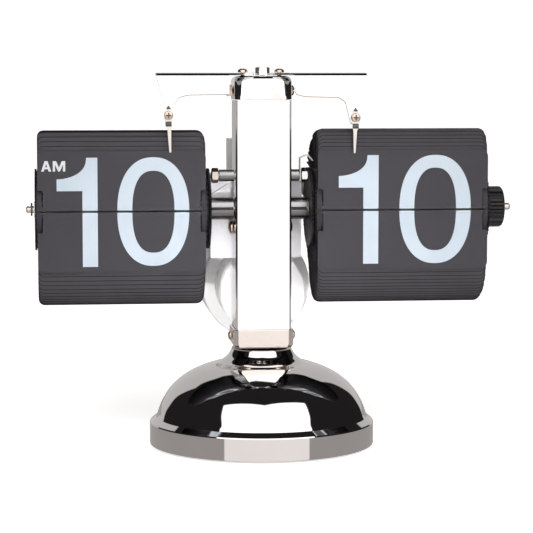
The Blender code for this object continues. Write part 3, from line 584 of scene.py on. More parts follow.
CELL_BODY = finish("cell_jacket", (0.045, 0.11, 0.29), metal=0.25, rough=0.3,
                   mottle=(0.06, 60), uneven=(0.05, 300), grain=(0.05, 3000),
                   lines=(0.05, 2200), coat=0.4)
CELL_BAND = finish("cell_band", (0.62, 0.47, 0.25), metal=0.8, rough=0.3,
                   mottle=(0.05, 60), uneven=(0.06, 300), grain=(0.04, 3000),
                   lines=(0.05, 1800))

# =====================================================================
# foot: profiles are (radius, z)
# =====================================================================
DOME_OUTSIDE = [
    (13.2, 42.35), (13.15, 41.9), (13.5, 41.2), (14.5, 39.5), (15.9, 38.1), (18.6, 36.2),
    (23.0, 35.0), (28.6, 32.9), (34.5, 29.6), (40.0, 24.6), (43.9, 18.6), (45.8, 13.6),
]
# (radius, z, corner radius); the first and last points only steer the corners next to them
DOME_RIM = [
    (45.8, 13.6, 0), (46.4, 12.3, 0.5), (48.8, 10.4, 0.4), (49.1, 9.9, 0.2),
    (49.1, 0.5, 0.25), (47.6, 0.5, 0.2), (47.6, 9.4, 0),
]
DOME_INSIDE = [(47.6, 9.4), (41.6, 18.4), (32.0, 28.0), (22.4, 32.4), (12.6, 34.6)]
DOME_SOCKET = [(11.4, 36.0), (11.4, 40.2), (3.4, 40.2), (3.4, 42.35)]
BALLAST = [(4.0, 10.6), (42.0, 10.6), (43.4, 9.2), (43.4, 1.6), (4.0, 1.6)]
PAD = [(0, 1.2), (46.2, 1.2), (46.2, 0.0), (0, 0.0)]

dome = smooth_curve(DOME_OUTSIDE, 7) + fillet(DOME_RIM, 6)[1:-1]
dome += smooth_curve(DOME_INSIDE, 5)[1:] + DOME_SOCKET
piece("dome_shell", lathe("Z", dome, steps=192), CHROME, "base_dome", sharp=42)
piece("ballast_ring", lathe("Z", soft(BALLAST, 0.6)), CAST, "base_weight")
piece("foot_pad", lathe("Z", soft(PAD, 0.35), steps=128), RUBBER, "base_foot_pad")

bolt = join(threaded("Z", 3.0, 37.5, 51.0, FOOT_BOLT, pitch=0.8),
            hex_head("Z", 5.2, 36.2, 39.8, FOOT_BOLT))
piece("base_bolt_fine", bolt, STEEL, "base_bolt")
nut = hex_head("Z", 5.2, 44.4, 48.2, FOOT_BOLT, hole=3.3)
piece("base_nut_fine", nut, STEEL, "base_nut")

# foot bracket: a drawn cup with a soft lower edge; (z, inset, front corner radius)
BRACKET_HALF = (13.1, 11.1)
BRACKET_POCKET_HALF = (12.35, 10.25)
BRACKET_STATIONS = [
    (42.7, 2.4, 2.6), (42.9, 1.35, 3.0), (43.3, 0.7, 3.2), (43.8, 0.3, 3.3), (44.6, 0.08, 3.4),
    (45.4, 0.0, 3.4), (50.9, 0.0, 3.4), (51.15, 0.06, 3.4), (51.3, 0.25, 3.3),
]


def side_hole(radius, at, steps):
    """A cutter along X through both side walls of the column parts."""
    return rod("X", radius, -20, 20, at, steps)


bracket = cut(
    tub(BRACKET_HALF, BRACKET_STATIONS, back=0.9, steps=10, back_shrink=0.5),
    plate("Z", [tub_outline(*BRACKET_POCKET_HALF, front=2.6, back=0.4, steps=8)], 43.9, 60),
    rod("Z", 3.4, 40, 46, FOOT_BOLT, 36),
    side_hole(1.15, FOOT_SCREW, 28),
)
piece("foot_bracket_cup", bracket, BRACKET, "foot_bracket", sharp=34)

# =====================================================================
# column (a channel open at the back) and cap
# =====================================================================
COLUMN_X, COLUMN_Y = 12.1, 10.0  # half sizes
COLUMN_WALL = 1.2
COLUMN_Z = (44.3, 150.4)
inner_x = COLUMN_X - COLUMN_WALL
inner_front = -COLUMN_Y + COLUMN_WALL
channel = fillet([
    (-inner_x, COLUMN_Y, 0.25), (-COLUMN_X, COLUMN_Y, 0.25), (-COLUMN_X, -COLUMN_Y, 1.4),
    (COLUMN_X, -COLUMN_Y, 1.4), (COLUMN_X, COLUMN_Y, 0.25), (inner_x, COLUMN_Y, 0.25),
    (inner_x, inner_front, 0.5), (-inner_x, inner_front, 0.5),
], 10)
column = cut(
    plate("Z", [channel], *COLUMN_Z),
    side_hole(1.85, AXLE, 36),
    side_hole(1.75, ROD, 36),
    side_hole(1.2, HOUSING_SCREW, 28),
    side_hole(1.15, FOOT_SCREW, 28),
)
piece("column_sheet", column, CHROME_SHEET, "column_channel",
      bevel=0.1, limit=50, sharp=34)

# (z, inset, front corner radius)
CAP_HALF = (12.5, 10.4)
CAP_OUTSIDE = [
    (150.7, 0.12, 4.1), (150.85, 0.0, 4.2), (153.0, 0.0, 4.4), (156.0, 0.0, 4.7),
    (158.4, 0.0, 5.0), (159.1, 0.12, 5.1), (159.8, 0.45, 5.2), (160.4, 1.05, 5.0),
    (160.75, 1.7, 4.7), (160.9, 2.5, 4.4),
]
CAP_INSIDE = [(149.0, 1.2, 3.8), (157.6, 1.2, 3.9), (158.8, 1.8, 4.0), (159.5, 3.0, 3.8)]
cap = cut(
    tub(CAP_HALF, CAP_OUTSIDE, back=1.4, steps=12),
    tub(CAP_HALF, CAP_INSIDE, back=0.6, steps=12),
    side_hole(1.45, CAP_CROSS_BOLT, 30),
    rod("Z", 1.25, 155, 165, CAP_SCREWS["left"], 30),
    rod("Z", 1.6, 155, 165, CAP_BOLT, 30),
    rod("Z", 1.25, 155, 165, CAP_SCREWS["right"], 30),
)
piece("cap_shell", cap, CAP_CHROME, "top_cap", sharp=38)

for side, at in CAP_SCREWS.items():
    screw = cross_screw("Z", at, head=(2.1, 162.4, 164.1), recess=(164.4, 1.1, 1.15, 0.22),
                        shank=(0.9, 156.4, 162.6))
    piece(f"cap_screw_{side}_fine", screw, COPPER, f"cap_screw_{side}", sharp=36)

bolt = join(hex_head("Z", 3.1, 161.2, 164.7, CAP_BOLT, square_lo=True),
            threaded("Z", 1.25, 156.4, 161.5, CAP_BOLT, pitch=0.6))
piece("cap_bolt_fine", bolt, ARM, "cap_screw_middle", sharp=36)

bolt = join(threaded("X", 1.1, -15.6, 12.9, CAP_CROSS_BOLT, pitch=0.6),
            dome_head("X", 2.3, 12.7, 14.4, CAP_CROSS_BOLT))
slot_z = (CAP_CROSS_BOLT[1] - 0.25, CAP_CROSS_BOLT[1] + 0.25)
bolt = cut(bolt, box((13.8, 15), (-2.6, 2.6), slot_z))
piece("cap_cross_bolt_fine", bolt, COPPER, "cap_cross_bolt", sharp=36)
nut = hex_head("X", 2.9, -15.2, -12.8, CAP_CROSS_BOLT, hole=1.4)
piece("cap_nut_fine", nut, COPPER, "cap_nut", sharp=36)

# Side screws, as distances from the middle: name, centre line, head (radius, from, to),
# recess (face, depth, half length, half width), shank (radius, from, to)
SIDE_SCREWS = (
    ("foot_screw", FOOT_SCREW, (2.0, 13.4, 14.8), (15.0, 0.9, 1.1, 0.22), (0.85, 9.0, 13.6)),
    ("housing_screw", HOUSING_SCREW, (3.0, 12.4, 14.2), (14.4, 1.0, 1.5, 0.28),
     (0.9, 9.2, 12.6)),
)
for sign, side in ((-1, "left"), (1, "right")):
    for name, at, head, recess, shank in SIDE_SCREWS:
        screw = cross_screw(
            "X", at,
            head=(head[0], sign * head[1], sign * head[2]),
            recess=(sign * recess[0], sign * recess[1], *recess[2:]),
            shank=(shank[0], *sorted((sign * shank[1], sign * shank[2]))),
        )
        piece(f"{name}_{side}_fine", screw, COPPER, f"{name}_{side}", sharp=36)

# =====================================================================
# arms and fingers
# =====================================================================
# Each arm is an angle sheet. Its front (x, z, corner radius) hangs down and its top
# (x, y, corner radius) lies over the cap; a strip along x fills the fold between them.
ARMS = {
    "left": {
        "finger": "hour",
        "strip": (-46.2, -15.7),
        "front": [
            (-46.6, 162.2, 0.3), (-46.3, 160.4, 0.5), (-43.2, 148.5, 2.0), (-43.0, 141.2, 1.0),
            (-39.7, 141.2, 1.0), (-38.6, 148.6, 1.2), (-37.0, 151.6, 3.0), (-33.0, 152.6, 4.0),
            (-15.5, 152.9, 0.4), (-15.5, 162.2, 0.3),
        ],
        "top": [
            (-46.6, -17.2, 0.2), (-12.9, -17.2, 1.0), (-4.3, -10.2, 1.5), (-4.3, 7.5, 1.5),
            (-14, 7.5, 2.0), (-46.6, -9.5, 1.5),
        ],
    },
    "right": {
        "finger": "minute",
        "strip": (12.95, 43.2),
        "front": [
            (12.8, 162.2, 0.3), (12.8, 152.9, 1.6), (17.0, 151.9, 3.0), (31.6, 151.5, 3.0),
            (34.4, 149.6, 3.0), (36.7, 140.2, 1.0), (40.3, 140.2, 1.0), (41.8, 146.5, 2.0),
            (43.4, 160.4, 0.5), (43.6, 162.2, 0.3),
        ],
        "top": [
            (43.6, -17.2, 0.2), (43.6, -9.5, 1.5), (14, 7.5, 2.0), (4.0, 7.5, 1.5),
            (4.0, -10.2, 1.5), (12.8, -17.2, 1.0),
        ],
    },
}
# (y, z, corner radius) of a block that rounds the fold
ARM_FOLD = [(-17.21, 130, 0), (-17.21, 162.2, 2.6), (20, 162.2, 0), (20, 130, 0)]
# height of the painted shadow line along each arm's lower edge
ARM_SHADOW_HEIGHT = 0.36


def arm_sheet(side, front, top, strip, finger):
    sheet = join(
        plate("Y", [fillet(front, 7)], -17.2, -16.0),
        plate("Z", [fillet(top, 7)], 161.2, 162.19),
        box(strip, (-17.15, -15.3), (160.3, 162.15)),
    )
    return cut(
        common(sheet, plate("X", [fillet(ARM_FOLD, 10)], -60, 60)),
        rod("Z", 1.2, 155, 170, CAP_SCREWS[side], 28),
        rod("Y", 1.15, -25, -10, FINGER_SCREWS[finger], 28),
    )


def arm_shadow_strip(front):
    """A painted shadow line along the lower edge: what is left of the front when it is cut by
    itself, raised.
    """
    raised = [(x, z + ARM_SHADOW_HEIGHT, radius) for x, z, radius in front]
    return cut(plate("Y", [fillet(front, 7)], -17.24, -17.08),
               plate("Y", [fillet(raised, 7)], -18, -16))


for side, arm in ARMS.items():
    piece(f"{side}_arm_shadow_line", arm_shadow_strip(arm["front"]), ARM_EDGE)
    obj = piece(f"{side}_arm_sheet", arm_sheet(side, **arm), [ARM, ARM_EDGE],
                f"{side}_arm", bevel=0.2, segments=3, limit=50, sharp=34)
    paint(obj, lambda centre, normal: int(centre.z < 160 and abs(normal.y) < 0.96))


def finger_blade(x, z, tip_z, tip_dx):
    """A tapering blade that hangs from its screw; its tip is tip_dx to the right."""
    waist, tip = x + tip_dx * 0.4, x + tip_dx
    outline = [
        (x - 1.45, z - 4.4, 0.4), (waist - 0.82, z - 5.6, 0.5),
        (tip - 0.42, tip_z, 0.25), (tip + 0.42, tip_z, 0.25),
        (waist + 0.82, z - 5.6, 0.5), (x + 1.45, z - 4.4, 0.4), (x + 1.7, z, 1.2),
        (x + 1.2, z + 2.6, 0.6), (x, z + 4.2, 0.25), (x - 1.2, z + 2.6, 0.6), (x - 1.7, z, 1.2),
    ]
    return cut(plate("Y", [fillet(outline, 6)], -17.9, -17.5), rod("Y", 1.1, -25, -10, (x, z), 28))


def finger_clamp_shade(x, z):
    """The clamp step across the finger under its screw, and the dark point above it, both in the
    dark finish as painted shade round the screw.
    """
    point = [(x - 1.2, z + 2.6, 0.3), (x + 1.2, z + 2.6, 0.3), (x, z + 4.25, 0.2)]
    # (y, z, corner radius)
    step = [
        (-17.62, z - 4.9, 0.1), (-17.62, z - 2.4, 0.1), (-18.35, z - 2.9, 0.2),
        (-18.55, z - 3.65, 0.2), (-18.35, z - 4.4, 0.2),
    ]
    return together(plate("X", [fillet(step, 5)], x - 1.25, x + 1.25),
                    plate("Y", [fillet(point, 4)], -17.98, -17.5))


def finger_screw_shade(x, z):
    """Chooses the dark slot for the rim and the recess of a finger screw: painted shade."""
    def choose(centre, normal):
        radius = math.hypot(centre.x - x, centre.z - z)
        off_bar = min(abs(centre.x - x), abs(centre.z - z))
        in_recess = radius < 1.25 and off_bar < 0.34 and -19.3 < centre.y < -18.5
        in_recess = in_recess and (centre.y > -18.75 or abs(normal.y) < 0.3)
        return 1 if radius > 1.7 or in_recess else 0
    return choose


for name, tip_z, tip_dx in (("hour", 128.5, 0.7), ("minute", 127.9, -0.4)):
    at = FINGER_SCREWS[name]
    # the clamp pieces and the screw's dark rim and recess are painted shade
    piece(f"{name}_finger_clamp_shade", finger_clamp_shade(*at), BLUED_AND_SHADE,
          bevel=0.05, limit=40, sharp=36)
    piece(f"{name}_finger_spring", finger_blade(*at, tip_z, tip_dx), FINGER,
          f"{name}_finger", bevel=0.07, limit=40, sharp=36)
    screw = cross_screw("Y", at, head=(1.85, -18.2, -19.35), recess=(-19.5, -0.8, 1.2, 0.32),
                        shank=(0.8, -18.4, -14.4), flat=0.62, pitch=0.45)
    obj = piece(f"{name}_finger_screw_fine", screw, [COPPER, BLUED_AND_SHADE],
                f"{name}_finger_screw", sharp=36)
    paint(obj, finger_screw_shade(*at))

# =====================================================================
# axle, sleeves, cross rod
# =====================================================================
AXLE_LEFT, AXLE_RIGHT = -102.0, 110.3
# (radius, distance from the end); the left end has the clip groove
LEFT_END = [
    (0, 0), (0.85, 0), (1.15, 0.12), (1.4, 0.4), (1.5, 0.8), (1.5, 1.3),
    (1.28, 1.35), (1.28, 1.75), (1.5, 1.8),
]
RIGHT_END = [(1.5, 1.1), (1.45, 0.7), (1.28, 0.35), (1.0, 0.12), (0.6, 0.02), (0, 0)]
axle = [(radius, AXLE_LEFT + inset) for radius, inset in LEFT_END]
axle += [(radius, AXLE_RIGHT - inset) for radius, inset in RIGHT_END]
piece("main_axle_fine", lathe("X", axle, AXLE, 64), SHAFT, "main_axle", sharp=32)

clip = cut(
    plate("X", [circle(2.9, 64, AXLE), circle(1.7, 48, AXLE)], -100.0, -99.3),
    box((-102, -98), (-1.0, 1.0), (AXLE_Z - 5, AXLE_Z)),
    rod("X", 0.55, -103, -97, (-1.9, AXLE_Z - 1.9), 20),
    rod("X", 0.55, -103, -97, (1.9, AXLE_Z - 1.9), 20),
)
piece("axle_clip_fine", clip, BLUED_AND_SHADE, "axle_clip", bevel=0.08, limit=50)


def sleeve(lo, hi, outer=4.9, inner=2.4, half_slot=0.62):
    """A rolled tube along X whose seam faces the front."""
    def arc(radius, steps):
        gap = math.asin(half_slot / radius)
        angles = [gap + (TURN - 2 * gap) * i / steps for i in range(steps + 1)]
        return [(-radius * math.cos(a), radius * math.sin(a) + AXLE_Z) for a in angles]

    return plate("X", [arc(outer, 88) + arc(inner, 60)[::-1]], lo, hi)


for side, lo, hi in (("left", -22.4, -12.4), ("right", 12.4, 19.8)):
    piece(f"{side}_sleeve_tube", sleeve(lo, hi), TUBE, f"{side}_sleeve",
          bevel=0.14, segments=3, limit=50)
for side, lo, hi in (("left", -21.9, -12.6), ("right", 12.6, 19.3)):
    # a near-black box in each slit: a painted shadow in the seam
    seam = box((lo, hi), (-4.35, -2.6), (AXLE_Z - 0.58, AXLE_Z + 0.58))
    piece(f"{side}_sleeve_seam_shadow", seam, SLOT, bevel=0.05)


def rod_thread(start, count):
    """Points of the grooved end of the cross rod, from start to the right."""
    return [(1.26 if i % 2 else 1.4, start + i * 0.22) for i in range(1, count + 1)]


cross_rod = [(0, -22.6), (1.0, -22.6), (1.4, -22.2), *rod_thread(-22.2, 14), (1.4, -19.0),
             (1.4, 16.4), *rod_thread(16.4, 13), (1.4, 19.5), (1.0, 19.9), (0, 19.9)]
piece("cross_rod_fine", lathe("X", cross_rod, ROD, 48), STEEL, "cross_rod", sharp=30)
for side, lo, hi in (("left", -18.9, -12.4), ("right", 12.4, 15.8)):
    tube = soft([(2.6, lo), (2.6, hi), (1.7, hi), (1.7, lo)], 0.18)
    piece(f"{side}_rod_tube_fine", lathe("X", tube, ROD, 72), TUBE,
          f"{side}_rod_tube")
for side, lo, hi, material in (("left", -22.2, -19.2, SHAFT), ("right", 16.8, 19.6, ARM)):
    nut = hex_head("X", 3.3, lo, hi, ROD, phase=math.pi / 2, hole=1.7)
    piece(f"{side}_rod_nut_fine", nut, material, f"{side}_rod_nut",
          bevel=0.06, limit=25, sharp=32)

# (x, z, corner radius)
DETENT = [
    (16.1, 115.2, 0.1), (16.5, 115.2, 0.1), (16.5, 125.3, 0.7), (19.4, 126.6, 0.8),
    (21.9, 124.0, 0.12), (22.2, 124.3, 0.12), (19.6, 127.2, 1.0), (16.1, 125.7, 0.9),
]
detent = cut(plate("Y", [fillet(DETENT, 6)], -6.4, -1.6), rod("X", 1.7, 15, 18, ROD, 32))
piece("detent_spring_fine", detent, STEEL, "detent_spring", bevel=0.05, limit=50)

# =====================================================================
# leaves
# =====================================================================
HINGE_R = 15.6     # circle of the leaf hinges round the axle
FOLD_Y = -17.6     # line about which the raised front leaf folds down
LEAF_H = 25.8
LEAF_X = {"hour": (-97.0, -25.6), "minute": (22.6, 96.6)}
COUNT = {"hour": 48, "minute": 60}
NOTCH_W, NOTCH_H = 2.3, 9.0
FRONT = (-17.4, -17.0)  # y of the two leaves that show
FILM = 0.09        # half thickness of a leaf in the pack
INK_T = 0.06
INK_SINK = 0.05    # how deep the ink reaches towards or into the film
SPLIT = 0.42       # ink stops this far from the line between the halves
SHADOW_FRAME_W = 0.30       # width of the painted shadow frame round a leaf

# (angle round the axle from the front, lean of the leaf from the front), in degrees
LEAN = ((0, 90), (26, 90), (31, 94), (38, 108), (46, 119), (54, 136), (60, 142), (180, 262),
        (190, 270), (360, 270))


def leaf_outline(lo, hi, corners=(2.4, 3.0), tip=LEAF_H, low=0.35, steps=8):
    """A leaf growing up from its hinge line at 0, with a notch at each side of the foot."""
    return fillet([
        (lo + 0.3, low, 0.1), (hi - 0.3, low, 0.1), (hi - 0.3, 1.1, 0.15),
        (hi - NOTCH_W, 1.1, 0.35), (hi - NOTCH_W, NOTCH_H, 0.45), (hi, NOTCH_H, 0.35),
        (hi, tip, corners[1]), (lo, tip, corners[0]), (lo, NOTCH_H, 0.35),
        (lo + NOTCH_W, NOTCH_H, 0.45), (lo + NOTCH_W, 1.1, 0.35), (lo + 0.3, 1.1, 0.15),
    ], steps)


def lean(angle, name):
    if name == "minute" and angle <= 36:
        # the minute leaves stay upright a little longer before they lean back
        return 90 + max(0.0, (angle - 31) * 1.2)
    for (start, low), (end, high) in zip(LEAN, LEAN[1:]):
        if angle <= end:
            return low + (high - low) * (angle - start) / (end - start)


def front_leaf(lo, hi, up):
    sign = 1 if up else -1
    loop = [(x, AXLE_Z + sign * v) for x, v in leaf_outline(lo, hi)]
    return plate("Y", [loop if up else loop[::-1]], *FRONT)


def hinge(degrees):
    """The y of a leaf's hinge and its height above the axle."""
    angle = math.radians(degrees)
    return -HINGE_R * math.cos(angle), HINGE_R * math.sin(angle)


# ---- figures: outlines in the plane of the leaf (x, z) ----
ONE = {
    "hour": dict(left=-88.85, flag_top=117.27, flag_low=112.31, stem_left=-78.04,
                 stem_right=-71.63, top_left=-76.34, top=126.4, foot=80.03),
    "minute": dict(left=31.57, flag_top=118.12, flag_low=113.13, stem_left=42.23,
                   stem_right=48.79, top_left=43.96, top=127.03, foot=80.27),
}
# outer and inner ovals: x from, x to, z from, z to
ZERO = {
    "hour": ((-63.31, -32.73, 80.24, 126.51), (-56.95, -39.01, 85.87, 120.79)),
    "minute": ((57.94, 89.18, 80.27, 127.03), (64.41, 82.70, 85.87, 121.56)),
}
SECOND_ONE = {"hour": 33.4, "minute": 34.0}  # shift from the first figure one to the next


def one(left, flag_top, flag_low, stem_left, stem_right, top_left, top, foot, shift=0):
    """A figure one whose flag sweeps up into the stem on a concave curve."""
    left, stem_left = left + shift, stem_left + shift
    stem_right, top_left = stem_right + shift, top_left + shift
    points = [(stem_right, foot), (stem_right, top), (top_left, top)]
    for i in range(1, 16):
        t = i / 16
        across = (1 - math.cos(t * math.pi / 2) ** 1.35) * (0.32 + 0.68 * t)
        down = math.sin(t * math.pi / 2) ** 1.05
        points.append((top_left - (top_left - left) * across, top - (top - flag_top) * down))
    points += [(left, flag_top), (left, flag_low), (stem_left, flag_low), (stem_left, foot)]
    return [points]


def oval(x0, x1, z0, z1, power, steps=120):
    """A superellipse that fills a rectangle."""
    out = []
    for i in range(steps):
        c, s = math.cos(TURN * i / steps), math.sin(TURN * i / steps)
        out.append((
            (x0 + x1) / 2 + (x1 - x0) / 2 * math.copysign(abs(c) ** (2 / power), c),
            (z0 + z1) / 2 + (z1 - z0) / 2 * math.copysign(abs(s) ** (2 / power), s),
        ))
    return out


def zero(outer, inner):
    return [oval(*outer, power=2.25), oval(*inner, power=2.45)]


def halves(figures, up, y, x):
    """The upper or lower halves of figures as a thin layer of ink, clear of the split."""
    z = (AXLE_Z + SPLIT, 140) if up else (60, AXLE_Z - SPLIT)
    return together(*[
        common(plate("Y", loops, *y), box((x[0] - 2, x[1] + 2), (y[0] - 1, y[1] + 1), z))
        for loops in figures
    ])


# x of each letter and its loops, measured from its lower left corner
LETTER_Z = 120.66
LETTERS = (
    (-95.3, (
        [(0, 0), (1.50, 4.37), (2.74, 4.37), (4.24, 0), (3.16, 0), (2.83, 1.0), (1.41, 1.0),
         (1.08, 0)],
        [(1.66, 1.78), (2.58, 1.78), (2.12, 3.22)],
    )),
    (-90.4, (
        [(0, 0), (0, 4.37), (1.42, 4.37), (2.62, 1.62), (3.83, 4.37), (5.25, 4.37), (5.25, 0),
         (4.28, 0), (4.28, 2.85), (3.0, 0), (2.24, 0), (0.97, 2.85), (0.97, 0)],
    )),
)


def letters(y):
    return together(*[
        plate("Y", [[(x + u, LETTER_Z + v) for u, v in loop] for loop in loops], *y)
        for x, loops in LETTERS
    ])


def lifted(mesh, z):
    mesh.transform(Matrix.Translation((0, 0, z)))
    return mesh


def fold_over(mesh):
    """Half a turn about the fold line, from the lower front to the back of the raised leaf."""
    turn = Matrix.Rotation(math.pi, 4, "X")
    away, back = (0, FOLD_Y, AXLE_Z), (0, -FOLD_Y, -AXLE_Z)
    mesh.transform(Matrix.Translation(away) @ turn @ Matrix.Translation(back))
    return mesh


def leaf_shadow_frame(lo, hi, tall):
    """A painted shadow line: a thin dark frame round the leaf."""
    def loop(grow, foot, left, right):
        x0, x1, tip = lo - grow, hi + grow, tall + grow
        return fillet([(x0, foot, 0.1), (x1, foot, 0.1), (x1, tip, right), (x0, tip, left)], 5)

    return cut(plate("Y", [loop(0.01, 8.0, 2.6, 3.2)], -0.105, 0.105),
               plate("Y", [loop(-SHADOW_FRAME_W, 7.0, 2.3, 2.9)], -1, 1))


def leaf_pack(name):
    """The leaves behind the front one: near blades, all painted shadow frames, rear blades in
    painted shade.
    """
    left, right = LEAF_X[name]
    near, shadow_frames, rear = [], [], []
    for i in range(1, COUNT[name]):
        angle = i * (360 / COUNT[name])
        tilt = math.radians(lean(angle, name))
        y, z = hinge(angle)
        shift = leaf_random.uniform(-0.16, 0.16)
        tall = LEAF_H + leaf_random.uniform(-0.08, 0.08)
        lo, hi = left + max(0, shift), right + min(0, shift)
        outline = leaf_outline(lo, hi, (2.6, 3.2), tall, low=0.0, steps=4)
        blade = bevelled(plate("Y", [outline], -FILM, FILM), 0.05, segments=1, limit=60)
        # its own up (Z) becomes the leaf's direction, its own front (-Y) faces smaller angles
        place = Matrix.Translation((0, y, AXLE_Z + z))
        place = place @ Matrix.Rotation(-(tilt - math.pi / 2), 4, "X")
        blade.transform(place)
        (rear if 100 <= math.degrees(tilt) <= 266 else near).append(blade)
        edge = leaf_shadow_frame(lo, hi, tall)
        edge.transform(place)
        shadow_frames.append(edge)
    return together(*near), together(*shadow_frames), together(*rear)


def leaves(name):
    x = LEAF_X[name]
    body = f"{name}_leaf"
    first = one(**ONE[name])
    now = (first, zero(*ZERO[name]))
    soon = (first, one(**ONE[name], shift=SECOND_ONE[name]))
    positions = ((True, body, "upper"), (False, "root", "lower"))

    def ink(part, mesh, ride, material=INK):
        piece(part, mesh, material, body=ride, weighted=False)

    for up, ride, word in positions:
        piece(f"{name}_leaf_{word}_film", front_leaf(*x, up), LEAF,
              f"{name}_leaf_{word}", body=ride, bevel=0.09, limit=50)
    # a painted shadow strip along each hinge line, in the gap between the leaves
    for up, ride, word in positions:
        z = (AXLE_Z + 0.12, AXLE_Z + 0.36) if up else (AXLE_Z - 0.36, AXLE_Z - 0.12)
        gap_shadow = box((x[0] + 0.6, x[1] - 0.6), (FRONT[0] + 0.02, FRONT[1] - 0.02), z)
        piece(f"{name}_leaf_{word}_hem", gap_shadow, LEAF_SHADE, body=ride, bevel=0.03)

    near, shadow_frames, rear = leaf_pack(name)
    piece(f"{name}_leaf_pack_film", near, LEAF_PACK, f"{name}_leaf_pack", sharp=30)
    piece(f"{name}_leaf_pack_shadow_lines", shadow_frames, LEAF_SHADOW_LINE, sharp=30, weighted=False)
    piece(f"{name}_leaf_pack_rear_shaded", rear, LEAF_SHADE, sharp=30)

    front_y = (FRONT[0] - INK_T, FRONT[0] + INK_SINK)
    for up, ride, word in positions:
        ink(f"{name}_figures_{word}", halves(now, up, front_y, x), ride)
    # the back of the raised leaf carries the lower half of the next figures
    folded = 2 * FOLD_Y - FRONT[1]
    back = halves(soon, False, (folded - INK_T, folded + INK_SINK), x)
    ink(f"{name}_figures_back", fold_over(back), body)
    # the first leaf of the pack carries their upper half
    next_y, rise = hinge(360 / COUNT[name])
    layer = (next_y - FILM - 0.04, next_y - INK_SINK)
    rise -= 0.35
    ink(f"{name}_figures_next", lifted(halves(soon, True, layer, x), rise), "root")
    if name == "hour":
        ink("am_letters", letters(front_y), body, LETTER_INK)
        ink("am_letters_next", lifted(letters(layer), rise), "root", LETTER_INK)


for name in ("hour", "minute"):
    leaves(name)

# =====================================================================
# drums
# =====================================================================
RACK_OUTER, RACK_INNER = 17.6, 16.3
WHEELS = {
    "hour": {"outer": (-98.2, -97.4), "inner": (-25.2, -24.4)},
    "minute": {"outer": (96.95, 97.75), "inner": (21.5, 22.3)},
}


def rack_outline(count, share=0.5):
    """A rim with a square notch at each leaf; the first notch faces the front."""
    points = []
    pitch = TURN / count
    for i in range(count):
        middle = math.pi + i * pitch
        for radius, part in ((RACK_INNER, -share / 2 * 0.86), (RACK_INNER, share / 2 * 0.86),
                             (RACK_OUTER, share / 2), (RACK_OUTER, 1 - share / 2)):
            y, z = polar(radius, middle + part * pitch)
            points.append((y, AXLE_Z + z))
    return points


def wheel(count, lo, hi):
    """A notched disc with a hub hole and six lightening holes."""
    holes = [
        rod("X", 2.6, lo - 2, hi + 2, polar(9.0, k * math.pi / 3 + 0.4, AXLE), 32)
        for k in range(6)
    ]
    return cut(plate("X", [rack_outline(count), circle(3.55, 48, AXLE)], lo, hi), *holes)


for name, wheels in WHEELS.items():
    for which, (lo, hi) in wheels.items():
        piece(f"{name}_wheel_{which}_rack", wheel(COUNT[name], lo, hi), WHEEL,
              f"{name}_wheel_{which}", body=f"{name}_drum", bevel=0.07, segments=1, limit=50)
        # a short ring on the side of the wheel that faces the other wheel of its drum
        faces_right = (name == "hour") == (which == "outer")
        start, end = (hi, hi + 2.2) if faces_right else (lo - 2.2, lo)
        start, end = start - 0.05, end + 0.05
        ring = soft([(16.9, start), (16.9, end), (16.3, end), (16.3, start)], 0.12, 3)
        piece(f"{name}_wheel_{which}_rim", lathe("X", ring, AXLE), DRUM_SHELL,
              body=f"{name}_drum")

FLUTES = 16
FLUTE_STEPS = 14
KNOB_R = 8.95
FLUTE_DEPTH = 0.95


def knob_grip():
    flutes = []
    for i in range(FLUTES):
        for k in range(FLUTE_STEPS):
            t = -0.5 + k / FLUTE_STEPS
            ridge = max(0.0, min(1.0, 0.5 + 1.15 * math.cos(TURN * t)))
            radius = KNOB_R - FLUTE_DEPTH * (1 - ridge) ** 0.9
            flutes.append(polar(radius, TURN * i / FLUTES + t * TURN / FLUTES, AXLE))
    # the envelope that rounds the outer end of the flutes: (radius, x)
    crown = [(0, 98.9), (12, 98.9), (12, 103.4)]
    for degrees in range(0, 91, 15):
        angle = math.radians(degrees)
        crown.append((9.05 - 1.5 * (1 - math.cos(angle)), 104.8 + 1.6 * math.sin(angle)))
    crown += [(6.0, 106.4), (5.4, 106.0), (0, 106.0)]
    return common(plate("X", [flutes], 99.45, 106.4), lathe("X", crown, AXLE))


collar = lathe("X", soft([(0, 98.1), (9.2, 98.1), (9.2, 99.7), (0, 99.7)], 0.35, 5), AXLE)
knob = cut(join(knob_grip(), collar), rod("X", 1.8, 90, 120, AXLE, 40))
piece("setting_knob_fine", knob, KNOB, "setting_knob", body="minute_drum")

# =====================================================================
# gear housing, battery: profiles are (radius, y)
# =====================================================================
piece("gear_housing_shell", cad_mesh("gear_housing"), HOUSING, "gear_housing",
      bevel=0.28, segments=3, limit=40, sharp=36)
piece("housing_cover_plate", cad_mesh("housing_cover"), HOUSING, "housing_cover",
      bevel=0.3, segments=3, limit=40, sharp=36)

BATTERY_X, BATTERY_Z = BATTERY
CASE_PROFILE = [
    (0, 17.0), (15.9, 17.0), (16.1, 16.85), (18.6, 16.85), (19.1, 17.35), (19.1, 43.8),
    (24.0, 44.0), (24.3, 44.2), (24.3, 45.6), (24.1, 45.8), (19.1, 45.8), (19.1, 83.7),
    (18.8, 84.0), (17.8, 84.0), (17.6, 83.7), (17.6, 18.8), (17.4, 18.6), (0, 18.6),
]
CASE_BOSS = [(0, 14.6), (18.4, 14.6), (18.9, 15.1), (18.9, 17.4), (0, 17.4)]
